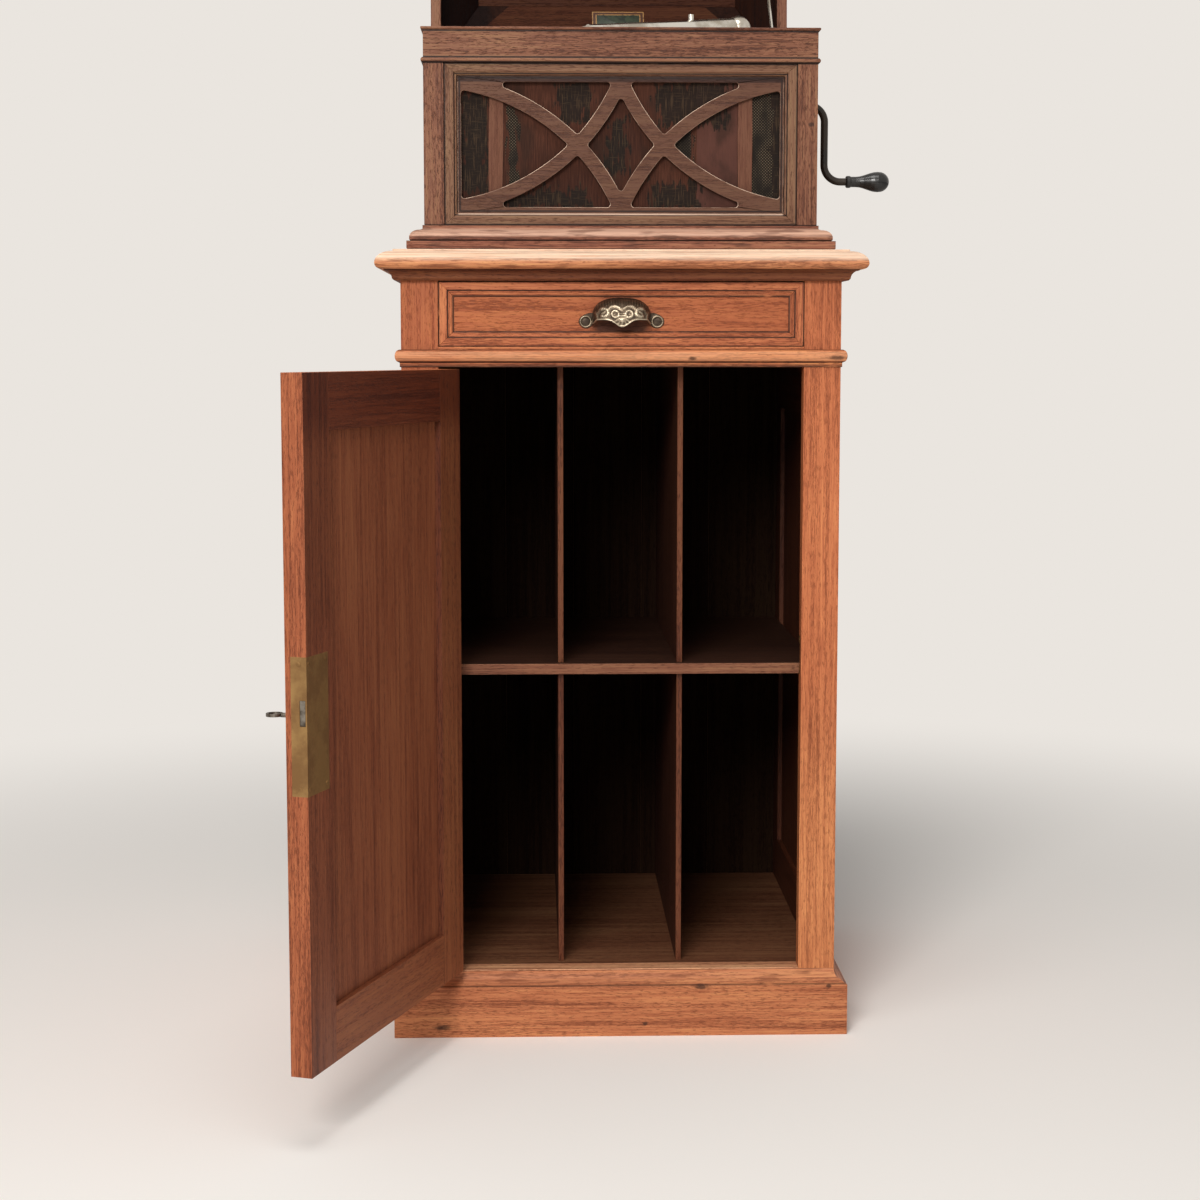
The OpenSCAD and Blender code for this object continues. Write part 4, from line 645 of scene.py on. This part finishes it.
def metal(name, bright, dull, rough, size, metallic=1.0, scratches=0.15):
    """Metal with tarnished patches and fine scratches."""
    t = Tree(name, Metallic=metallic)
    at = t.object_point()
    polished = t.step(t.noise(at, size, detail=5, rough=0.6), 0.38, 0.62)
    fine = t.noise(at, size * 22, detail=2)
    t.set("Base Color", t.mix(polished, srgb(*dull), srgb(*bright)))
    low, high = rough
    t.set("Roughness", (1.0 - polished) * (high - low) + (low + fine * 0.08))
    t.bump(fine, 0.1 * MM, scratches)
    return t.material


def bronze():
    """Dark cast bronze, rubbed bright where its points' relief stands proud."""
    t = Tree("dark_bronze", Metallic=0.8)
    relief = t.value("ShaderNodeAttribute", output="Fac", attribute_name="relief")
    rubbed = relief + (t.noise(t.object_point(), 160, detail=4) - 0.42) * 0.8
    stops = (0.0, srgb(62, 51, 42)), (0.4, srgb(104, 89, 72)), (1.0, srgb(182, 167, 144))
    t.set("Base Color", t.ramp(rubbed, *stops))
    t.set("Roughness", 0.5 - rubbed * 0.16)
    t.bump(t.noise(t.object_point(), 900, detail=2), 0.2 * MM, 0.4)
    return t.material


BRASS = metal("aged_brass", (166, 132, 86), (130, 98, 64), (0.38, 0.5), 22)
NICKEL = metal("nickel_plate", (226, 222, 213), (178, 170, 156), (0.12, 0.26), 26)
STEEL = metal("old_steel", (138, 130, 120), (74, 66, 58), (0.35, 0.6), 60)
IRON = metal("black_iron", (40, 40, 40), (24, 22, 21), (0.4, 0.6), 40, metallic=0.3)
ENAMEL = metal("black_enamel", (39, 35, 31), (50, 41, 33), (0.3, 0.45), 24, metallic=0.35)
LACQUER = metal("black_lacquer", (22, 22, 22), (30, 28, 26), (0.16, 0.3), 36, metallic=0.0, scratches=0.05)
BRONZE = bronze()
METALS = {
    BRASS: ["door_hinge_fixed", "door_hinge_moving", "strike_plate", "door_lock", "key_escutcheon",
            "lid_hinge_fixed", "lid_hinge_moving", "spring_barrel", "governor", "crank_bush"],
    NICKEL: ["turntable", "tonearm", "soundbox", "tonearm_base", "brake_lever", "speed_knob", "lid_stay"],
    STEEL: ["spindle", "door_key", "lock_bolt"],
    IRON: ["motor_frame"],
    ENAMEL: ["crank_arm"],
    LACQUER: ["crank_grip"],
}


def felt():
    t = Tree("green_felt", Roughness=0.95, Specular_IOR_Level=0.1, Sheen_Weight=0.25, Sheen_Roughness=0.6)
    at = t.object_point()
    fluff = t.noise(at, 900, detail=3)
    worn = t.noise(at, 16, detail=3)
    colour = t.ramp(fluff, (0.3, srgb(18, 44, 32)), (0.7, srgb(44, 84, 62)))
    t.set("Base Color", t.mix(t.step(worn, 0.5, 0.75), colour, srgb(70, 92, 66)))
    t.bump(fluff, 0.5 * MM, 0.6)
    return t.material


# Worn patches of the grille cloth: left, low, right and high, in millimetres.
NET_PATCHES = [(146, 960, 172, 1096), (-129, 978, -117, 1070), (62, 1008, 82, 1042)]
THREAD_PATCHES = [(-72, 1054, -36, 1100), (42, 1050, 122, 1100), (-15, 998, 6, 1058), (-138, 958, -34, 979),
                  (36, 958, 92, 986), (-183, 974, -150, 1086), (146, 960, 190, 1096)]
NET_CELL = 3.3 * MM


def patch_factor(t, p, boxes, ragged, blur):
    """1 in boxes in the grille's plane, with ragged, frayed edges."""
    result = 0.0
    for left, low, right, high in boxes:
        reach = [abs(p[axis] - (a + b) / 2 * MM) - (b - a) / 2 * MM
                 for axis, a, b in (("x", left, right), ("z", low, high))]
        result = t.math("MAXIMUM", result, t.step(t.largest(reach) + ragged * blur, 1.5 * MM, -1.5 * MM))
    return result


def grille_cloth():
    """Dark red silk, worn through in upright patches to loose threads and the black net behind it."""
    t = Tree("grille_silk", Roughness=0.8, Specular_IOR_Level=0.15, Sheen_Weight=0.1)
    p = t.split(t.object_point())

    def streaks(across, upright, seed, detail=2):
        return t.noise(t.join(p["x"] * across, seed, p["z"] * upright), detail=detail)

    thread = streaks(800, 45, 0.0)
    red = t.ramp(thread * 0.6 + streaks(14, 10, 7.7) * 0.5,
                 (0.35, srgb(40, 18, 10)), (0.55, srgb(61, 32, 21)), (0.75, srgb(82, 47, 33)))
    red = t.mix(inside(p, x=(87 * MM, 133.5 * MM)) * 0.75, red, srgb(84, 52, 44))  # a smoother strip
    red = t.mix(t.step(streaks(30, 16, 5.1, 4), 0.5, 0.66) * 0.55, red, srgb(34, 21, 14))
    weft = t.step(streaks(70, 1000, 2.2), 0.58, 0.66)
    loose = t.math("MAXIMUM", t.step(thread, 0.55, 0.64), weft * 0.6)
    bare = t.mix(loose * 0.75, srgb(19, 16, 12), srgb(66, 52, 36))
    ragged = streaks(230, 55, 1.1, 4) - 0.5
    colour = t.mix(patch_factor(t, p, THREAD_PATCHES, ragged, 55 * MM) * 0.85, red, bare)
    waves = [t.math("SINE", p[axis] * (2 * math.pi / NET_CELL)) for axis in "xz"]
    knots = t.step(mul(*waves), 0.4, 0.75) * t.step(streaks(60, 30, 9.3), 0.3, 0.6)
    net = t.mix(knots, srgb(24, 18, 13), srgb(112, 97, 76))
    t.set("Base Color", t.mix(patch_factor(t, p, NET_PATCHES, ragged, 26 * MM), colour, net))
    t.bump(thread, 0.4 * MM, 0.7)
    return t.material


# ---- dress the carried-over nodes ----

def soften(node):
    """Breaks a node's sharp edges, as sanding and wear do."""
    obj = nodes[node]
    obj.modifiers.new("weld", "WELD").merge_threshold = 0.01 * MM
    bevel = obj.modifiers.new("worn_edges", "BEVEL")
    bevel.width = 0.5 * MM
    bevel.segments = 2
    bevel.limit_method = "ANGLE"
    bevel.angle_limit = math.radians(35)


def dress(node, material):
    slots = nodes[node].data.materials
    slots.clear()
    slots.append(material)


for node, finish in WOODS.items():
    dress(node, wood("oak_" + node, **finish))
    soften(node)
for material, names in METALS.items():
    for node in names:
        dress(node, material)
dress("turntable_felt", felt())


# ---- pieces made here ----

def linked(name, data):
    obj = bpy.data.objects.new(name, data)
    bpy.context.scene.collection.objects.link(obj)
    return obj


def piece(name, shape, material, body, stands_for=(), smooth=40, values=None):
    """Makes an object from vertices and faces, and sends it with a body. Values go to its points."""
    verts, faces = shape
    mesh = bpy.data.meshes.new(name)
    mesh.from_pydata([tuple(v) for v in verts], [], faces)
    if values is not None:
        relief = mesh.attributes.new("relief", "FLOAT", "POINT")
        relief.data.foreach_set("value", np.asarray(values, dtype=np.float32))
    work = bmesh.new()
    work.from_mesh(mesh)
    bmesh.ops.remove_doubles(work, verts=work.verts, dist=0.002 * MM)
    bmesh.ops.recalc_face_normals(work, faces=work.faces)
    work.to_mesh(mesh)
    work.free()
    mesh.shade_smooth()
    mesh.set_sharp_from_angle(angle=math.radians(smooth))
    mesh.materials.append(material)
    obj = linked(name, mesh)
    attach(obj, body)
    if stands_for:
        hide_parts(*stands_for)
    return obj


def placed(shape, matrix):
    verts, faces = shape
    return [matrix @ Vector(v) for v in verts], faces


def joined(*shapes):
    verts, faces = [], []
    for shape_verts, shape_faces in shapes:
        faces += [tuple(i + len(verts) for i in face) for face in shape_faces]
        verts += list(shape_verts)
    return verts, faces


def sheet_of(rows, columns, wrap=False):
    """Quads between neighbouring points of a grid, row by row."""
    faces = []
    for start in range(0, (rows - 1) * columns, columns):
        for c in range(columns if wrap else columns - 1):
            right = (c + 1) % columns
            faces.append((start + c, start + right, start + columns + right, start + columns + c))
    return faces


def lathe(profile, segments):
    """A turned form round Z from (radius, height) points in metres."""
    verts = [(r * math.cos(a), r * math.sin(a), h) for r, h in profile
             for a in np.linspace(0, 2 * math.pi, segments, endpoint=False)]
    return verts, sheet_of(len(profile), segments, wrap=True)


def slab_between(low, high):
    """A solid whose two faces are grids of the same size, closed round its edge."""
    rows, columns = low.shape[:2]
    count = rows * columns
    verts = np.concatenate([low.reshape(-1, 3), high.reshape(-1, 3)])
    faces = sheet_of(rows, columns)
    faces += [tuple(i + count for i in reversed(face)) for face in faces]
    rim = [*range(columns), *range(2 * columns - 1, count, columns),
           *range(count - 2, count - columns - 1, -1), *range(count - 2 * columns, 0, -columns)]
    faces += [(a, b, b + count, a + count) for a, b in zip(rim, rim[1:] + rim[:1])]
    return [Vector(v) for v in verts], faces


def capped(rings):
    """A closed form through rings of points, each with as many."""
    count = len(rings[0])
    ends = [tuple(range((len(rings) - 1) * count, len(rings) * count)), tuple(range(count))[::-1]]
    return [v for ring in rings for v in ring], sheet_of(len(rings), count, wrap=True) + ends


def half_disc(radius, gap, low, high, sign, segments):
    """Half of a round head, with its straight side along the slot."""
    start = math.asin(gap / 2 / radius)
    angles = np.linspace(start, math.pi - start, segments)
    levels = ((1.0, low), (1.0, high - 0.25 * (high - low)), (0.86, high))
    return capped([[(size * radius * math.cos(a), sign * max(gap / 2, size * radius * math.sin(a)), height)
                    for a in angles] for size, height in levels])


def slotted_head(radius, height, sunk, seat, foot, slot, segments, steps):
    """A round head: a base up to a share of its height, and two halves from another share upwards."""
    base = lathe([(0, -sunk), (radius, -sunk), (radius, height * seat), (0, height * seat)], segments)
    halves = [half_disc(radius, radius * slot, height * foot, height, sign, steps) for sign in (-1, 1)]
    return joined(base, *halves)


def smooth_ridge(distance, width):
    return np.exp(-(distance / width) ** 2)


def segment_distance(x, z, start, end):
    dx, dz = end[0] - start[0], end[1] - start[1]
    part = np.clip(((x - start[0]) * dx + (z - start[1]) * dz) / (dx * dx + dz * dz), 0, 1)
    return np.hypot(x - start[0] - part * dx, z - start[1] - part * dz)


def stroke(x, z, points, width, height):
    """A rounded cord through points."""
    distance = np.min([segment_distance(x, z, a, b) for a, b in zip(points, points[1:])], axis=0)
    return height * smooth_ridge(distance, width)


def arc_points(centre, radius, start, end):
    angles = np.radians(np.linspace(start, end, 11))
    return [(centre[0] + radius * math.cos(a), centre[1] + radius * math.sin(a)) for a in angles]


def ornament(x, z):
    """How far the cast ornament stands out, seen from the front; millimetres from the cup's middle."""
    side = np.abs(x)
    cords = [(arc_points((7.8, 8.0), 3.9, -125, 205), 1.35, 1.0),  # scrolls, with the bars between them
             ([(0, 5.9), (5.0, 5.5)], 0.95, 0.95), ([(0, 8.4), (3.0, 8.6)], 0.8, 0.65),
             ([(8.0, 8.0), (9.0, 7.2)], 0.9, 0.6),
             (arc_points((8.6, 9.0), 7.9, 35, 140), 1.7, 0.85),  # leaves that curl over the scrolls
             ([(1.6, 14.6), (0.0, 12.4)], 1.3, 0.6),
             (arc_points((20.6, 9.6), 4.6, 60, 300), 1.9, 1.0),  # side leaves
             ([(20.5, 5.0), (15.4, 8.8)], 1.7, 0.95), ([(19.5, 10.5), (22.5, 8.5)], 1.2, 0.7),
             ([(27.6, 3.2), (29.0, 9.6)], 1.4, 0.6), ([(24.8, 13.2), (27.0, 9.0)], 1.3, 0.5),
             ([(0, 2.4), (0, -5.2)], 1.35, 1.1), ([(1.4, 2.6), (4.6, -3.4)], 1.1, 0.9),
             ([(3.0, 3.0), (9.0, -1.2)], 1.0, 0.8)]  # a fan over the lip
    relief = np.max([stroke(side, z, *cord) for cord in cords], axis=0)
    petals = 0.4 * np.cos(side * 1.05) ** 2 * np.clip((z - 14.5) / 3, 0, 1) * np.clip((26.5 - z) / 3, 0, 1)
    grain = 0.12 * np.sin(x * 1.9 + z * 0.7) * np.sin(z * 2.3 - x * 0.5)
    return np.maximum(relief, petals) + grain


PULL_SCREW = 3.4  # radius of the pull's screw heads, in millimetres
FULLER = 2 / 2.7  # bends an ellipse to a fuller outline


def cup_pull():
    """The cast cup pull: a half-dome shell with scrollwork, a wavy lip and two lobed ears."""
    low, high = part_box("drawer_pull")
    screw_low, screw_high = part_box("pull_screws")
    face = high.y / MM
    middle_z = (screw_low.z + screw_high.z) / 2 / MM
    pitch = (screw_high.x - screw_low.x) / MM - 2 * PULL_SCREW
    radius, half, wall = face - low.y / MM, pitch / 2 - 6.2, 2.2
    across, part = np.meshgrid(np.radians(np.linspace(-90, 90, 141)), np.linspace(0, 1, 81))
    width = np.sign(across) * np.abs(np.sin(across)) ** FULLER
    girth = np.abs(np.cos(across)) ** FULLER
    off = np.abs(width) * half
    lip_turn = 86 + 18 * np.exp(-(off / 10.0) ** 2) + 30 * np.clip((off - half + 5.5) / 5.5, 0, 1) ** 1.5
    around = part * np.radians(lip_turn)

    def shell(inset):
        hoop = (radius - inset) * girth
        return np.stack([(half - inset) * width, -hoop * np.sin(around), hoop * np.cos(around)], axis=-1)

    outer, inner = shell(1.3), shell(wall + 0.4)
    normal = outer / np.array([half ** 2, radius ** 2, radius ** 2])
    normal /= np.linalg.norm(normal, axis=-1, keepdims=True)
    fade = np.clip((np.degrees(around) - 12) / 10, 0, 1) * np.clip(girth * 4 - 0.6, 0, 1)
    edge = radius * (1 - part) * np.radians(lip_turn) * girth
    lip = 0.9 * smooth_ridge(np.maximum(edge - 0.9, 0), 1.0)
    rim = 0.5 * smooth_ridge(radius * around * girth - 1.4, 1.2)
    relief = np.clip(np.maximum(ornament(outer[..., 0], outer[..., 2]) * fade, np.maximum(lip, rim)), 0, 1.2)
    outer = outer + 1.3 * normal * relief[..., None]
    outer[..., 1] = np.minimum(outer[..., 1], 0)
    shapes = [slab_between(outer, inner)]
    values = [relief.ravel(), np.zeros(relief.size)]
    for side in (-1, 1):
        shape, raised = ear()
        place = Matrix.Translation((side * pitch / 2, 0, 0)) @ Matrix.Scale(side, 4, (1, 0, 0))
        shapes.append(placed(shape, place))
        values.append(raised)
    place = Matrix.Translation((0, face * MM, middle_z * MM)) @ Matrix.Scale(MM, 4)
    piece("pull_cup", placed(joined(*shapes), place), BRONZE, "drawer", ["drawer_pull"], 50,
          np.concatenate(values))
    head = slotted_head(PULL_SCREW * MM, 0.8 * MM, 0.2 * MM, 0.45, 0.3, 0.28, 24, 14)
    for index, side in enumerate((-1, 1)):
        seat = along((side * pitch / 2 * MM, (face - 1.0) * MM, middle_z * MM), (0, -1, 0))
        shape = placed(head, seat @ Matrix.Rotation(0.5 - 1.1 * index, 4, "Z"))
        stands_for = ["pull_screws"] if side < 0 else ()
        piece("pull_screw_%d" % index, shape, BRONZE, "drawer", stands_for, smooth=30)


def ear():
    """A lobed ear with a raised ring round its sunk screw; its neck points to -X and up. Millimetres."""
    angle, part = np.meshgrid(np.linspace(0, 2 * math.pi, 73), np.linspace(0, 1, 25))
    away = np.abs(np.angle(np.exp(1j * (angle - math.pi + 0.5))))
    reach = 7.6 + 0.3 * np.cos(3 * angle) + 5.6 * np.exp(-(away / 0.75) ** 2)
    x, z = reach * part * np.cos(angle), reach * part * np.sin(angle)
    from_screw = np.hypot(x, z)
    raised = smooth_ridge(from_screw - 6.0, 1.1)
    height = 1.5 + 1.1 * raised + 0.9 * np.clip((from_screw - 8) / 5, 0, 1)
    height = np.where(from_screw < 4.4, 0.9, height) * np.where(part > 0.97, 0.5, 1.0)
    front = np.stack([x, -height, z], axis=-1)
    back = np.stack([x, np.zeros_like(x), z], axis=-1)
    return slab_between(front, back), np.concatenate([0.7 * raised.ravel(), np.zeros(raised.size)])


def lid_label():
    """A plain dark green plate with a gilt line round it, on the lid's rear slope; it stays bare."""
    width, height, thick, corner = 69 * MM, 44 * MM, 0.5 * MM, 1.0 * MM
    ray = Vector((14.2 * MM, 0.1, 1.2275)), Vector((0, 1, 0))
    _, place, normal, _ = nodes["lid_slopes"].ray_cast(*ray)
    right = Vector((1, 0, 0))
    up = normal.cross(right).normalized()
    up = up if up.z > 0 else -up
    outline = []
    for sx, sy, start in ((1, 1, 0), (-1, 1, 90), (-1, -1, 180), (1, -1, 270)):
        for a in np.radians(np.linspace(start, start + 90, 5)):
            outline.append((sx * (width / 2 - corner) + corner * math.cos(a),
                            sy * (height / 2 - corner) + corner * math.sin(a)))
    rings = [[place + right * x * size + up * y * size + normal * z for x, y in outline]
             for z, size in ((0, 1), (thick * 0.7, 1), (thick, 0.985))]
    t = Tree("green_plate", Roughness=0.45)
    p = t.split(t.vector("SUBTRACT", t.object_point(), tuple(place)))
    edge = t.math("MINIMUM", width / 2 - abs(p["x"]), height / 2 - abs(p["z"] / up.z))
    line = t.step(abs(edge - 5.4 * MM), 0.9 * MM, 0.6 * MM)
    gilt = t.math("MAXIMUM", t.step(edge, 1.5 * MM, 1.2 * MM), line)
    aged = t.noise(t.object_point(), 160, detail=4)
    green = t.ramp(aged, (0.35, srgb(22, 30, 20)), (0.65, srgb(44, 54, 36)))
    field = t.mix(t.step(edge, 5.4 * MM, 5.0 * MM), green, srgb(66, 37, 24))
    t.set("Base Color", t.mix(gilt * t.step(aged, 0.3, 0.45), field, srgb(150, 112, 66)))
    piece("lid_plate", capped(rings), t.material, "lid")


def stretched_cloth():
    """The grille cloth, pulled over its opening with shallow ripples."""
    low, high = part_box("grille_cloth")
    held = 8 * MM  # flat along its edges
    x, z = np.meshgrid(np.linspace(low.x, high.x, 150), np.linspace(low.z, high.z, 66))
    free = np.clip((high.x - held - np.abs(x)) / 0.03, 0, 1) * np.clip((high.z - held - z) / 0.02, 0, 1)
    free *= np.clip((z - low.z - held) / 0.02, 0, 1)
    ripple = 0.35 * np.sin(x * 95 + 1.3 * np.sin(z * 31)) + 0.25 * np.sin(x * 41 + z * 23)
    y = low.y + 0.15 * MM + free * (0.55 + 0.45 * ripple) * MM
    shape = slab_between(*[np.stack([x, y + offset, z], axis=-1) for offset in (0.0, 0.4 * MM)])
    cloth = piece("cloth_stretched", shape, grille_cloth(), "cabinet", ["grille_cloth"])


def battens():
    """Two thin slats behind the fretwork, the left one a little askew."""
    low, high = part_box("grille_battens")
    width = 18.5 * MM
    finish = wood("slat", srgb(104, 66, 50), seed=27, pores=0.2, contrast=0.6, rough=0.75)
    across, up = np.meshgrid(np.linspace(-1, 1, 9), np.linspace(0, 1, 25))
    for index, (middle, lean) in enumerate(((low.x + width / 2, 2.2 * MM), (high.x - width / 2, 0.0))):
        x = middle + lean * (up - 0.5) + across * (width / 2 - 1.2 * MM) * (1 - 0.03 * np.sin(up * 9))
        z = low.z + up * (high.z - low.z)
        front = np.stack([x, low.y + 0.25 * MM * across ** 8, z], axis=-1)
        back = np.stack([x, np.full_like(x, high.y), z], axis=-1)
        replaced = ["grille_battens"] if index == 0 else ()
        piece("slat_%d" % index, slab_between(front, back), finish, "cabinet", replaced)


def screw_heads(name, body, places, radius, matrix=Matrix(), material=BRASS):
    """Slotted heads let into a plate: the places are (point, direction) pairs in millimetres."""
    head = slotted_head(radius * MM, 0.35 * MM, 0.3 * MM, 0.4, 0.2, 0.3, 20, 9)
    heads = []
    for index, (point, direction) in enumerate(places):
        turn = Matrix.Rotation(0.5 + 1.9 * index, 4, "Z")
        heads.append(placed(head, matrix @ along(Vector(point) * MM, direction) @ turn))
    piece(name, joined(*heads), material, body, smooth=30)


def ring_places(centre, radius, axis):
    """Three places evenly round an axis."""
    turn = along((0, 0, 0), axis).to_3x3()
    return [(Vector(centre) + turn @ Vector((radius * math.cos(a), radius * math.sin(a), 0)), axis)
            for a in [0.5 + 2 * math.pi * i / 3 for i in range(3)]]


def hinge_places(x, axis):
    """Three screws in each of the two door hinges' leaves."""
    low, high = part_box("door_hinge_fixed")
    leaf = 64
    return [((x, 9.5, foot + up), axis) for foot in (low.z / MM, high.z / MM - leaf) for up in (8, 32, 56)]


def middle_of(node):
    """The middle of a node's box, in millimetres."""
    low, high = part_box(node)
    return (low + high) / 2 / MM


def small_screws():
    """The heads that show on hinges, lock, strike plate, bush and tonearm base."""
    levels = (369.0, 493.0)  # of the lock's screws
    places = [((206.5, 14.5, z), (1, 0, 0)) for z in levels]
    places += [((x, 23.0, z), (0, 1, 0)) for x in (162, 201) for z in levels]
    places += hinge_places(-206.5, (-1, 0, 0))
    screw_heads("door_screws", "door", places, 2.3, DOOR)
    low, high = (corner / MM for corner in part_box("strike_plate"))
    strike = [((low.x, middle_of("strike_plate").y, z), (-1, 0, 0)) for z in (low.z + 5, high.z - 5)]
    screw_heads("frame_screws", "cabinet", strike + hinge_places(-208.0, (1, 0, 0)), 2.3)
    axis = LID_PIN / MM
    leaf_y, across = axis.y - 2.3, [side * 145 + x for side in (-1, 1) for x in (-18, 0, 18)]
    screw_heads("case_hinge_screws", "cabinet", [((x, leaf_y, axis.z - 14), (0, 1, 0)) for x in across], 2.2)
    screw_heads("lid_hinge_screws", "lid", [((x, leaf_y, axis.z + 13), (0, 1, 0)) for x in across], 2.2, LID)
    places = ring_places((*middle_of("tonearm_base").xy, 1111.0), 24.5, (0, 0, 1))
    screw_heads("tonearm_base_screws", "cabinet", places, 1.8, material=NICKEL)
    outer_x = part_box("crank_bush")[1].x / MM
    places = ring_places((outer_x, *middle_of("crank_bush").yz), 9.6, (1, 0, 0))
    screw_heads("bush_screws", "cabinet", places, 1.5)


cup_pull()
lid_label()
small_screws()
stretched_cloth()
battens()


# ---- floor, light and camera ----

BACKDROP = srgb(234, 229, 223)
LAMP = (1.0, 0.98, 0.95)
SKY = (1.0, 0.98, 0.96, 1.0)


def make_stage(size):
    """A wide pale floor that meets the backdrop's colour away from the object."""
    mesh = bpy.data.meshes.new("studio_floor")
    corners = [(x * size, y * size, 0) for x, y in ((-1, -1), (1, -1), (1, 1), (-1, 1))]
    mesh.from_pydata(corners, [], [(0, 1, 2, 3)])
    floor = linked("studio_floor", mesh)
    t = Tree("pale_floor", Roughness=0.9, Specular_IOR_Level=0.1)
    t.set("Base Color", srgb(249, 246, 242))
    p = t.split(t.object_point())
    seen = t.value("ShaderNodeLightPath", output="Is Camera Ray") * t.step(t.length(p["x"], p["y"]), 0.9, 2.4)
    glow = t.value("ShaderNodeEmission", [("Color", BACKDROP)])
    t.feed(t.out.inputs["Surface"], t.value("ShaderNodeMixShader", enumerate((seen, t.surface, glow))))
    mesh.materials.append(t.material)


def make_world(strength):
    world = bpy.data.worlds.new("studio")
    bpy.context.scene.world = world
    world.use_nodes = True
    t = Nodes(world.node_tree)
    sky = t.value("ShaderNodeBackground", [("Color", SKY), ("Strength", strength)])
    seen = t.value("ShaderNodeBackground", [("Color", BACKDROP)])
    path = t.add("ShaderNodeLightPath")
    rays = [Value(t, path.outputs[ray]) for ray in ("Is Camera Ray", "Is Glossy Ray", "Is Transmission Ray")]
    blend = t.value("ShaderNodeMixShader", enumerate((t.largest(rays), sky, seen)))
    t.add("ShaderNodeOutputWorld", [("Surface", blend)])


def softbox(name, place, target, size, power):
    data = bpy.data.lights.new(name, "AREA")
    data.shape = "DISK"
    data.size = size
    data.energy = power
    data.color = LAMP
    light = linked(name, data)
    light.location = place
    light.rotation_euler = (Vector(target) - Vector(place)).to_track_quat("-Z", "Y").to_euler()


def make_camera():
    """The photograph's camera, fitted to the cabinet's edges."""
    data = bpy.data.cameras.new("camera")
    data.sensor_width = 36
    data.lens = 67.87
    camera = linked("camera", data)
    camera.location = (-0.1012, -2.5829, 0.7963)
    camera.rotation_euler = (math.radians(90 - 6.30), 0, math.radians(-1.70))
    bpy.context.scene.camera = camera


make_stage(size=14.0)
make_world(strength=0.3)
softbox("window", (-1.2, -4.6, 2.9), (0, 0.1, 0.6), size=2.0, power=190)
softbox("overhead", (-0.3, -1.1, 3.5), (0, 0.2, 0.8), size=1.6, power=34)
make_camera()
bpy.context.scene.view_settings.view_transform = "Standard"
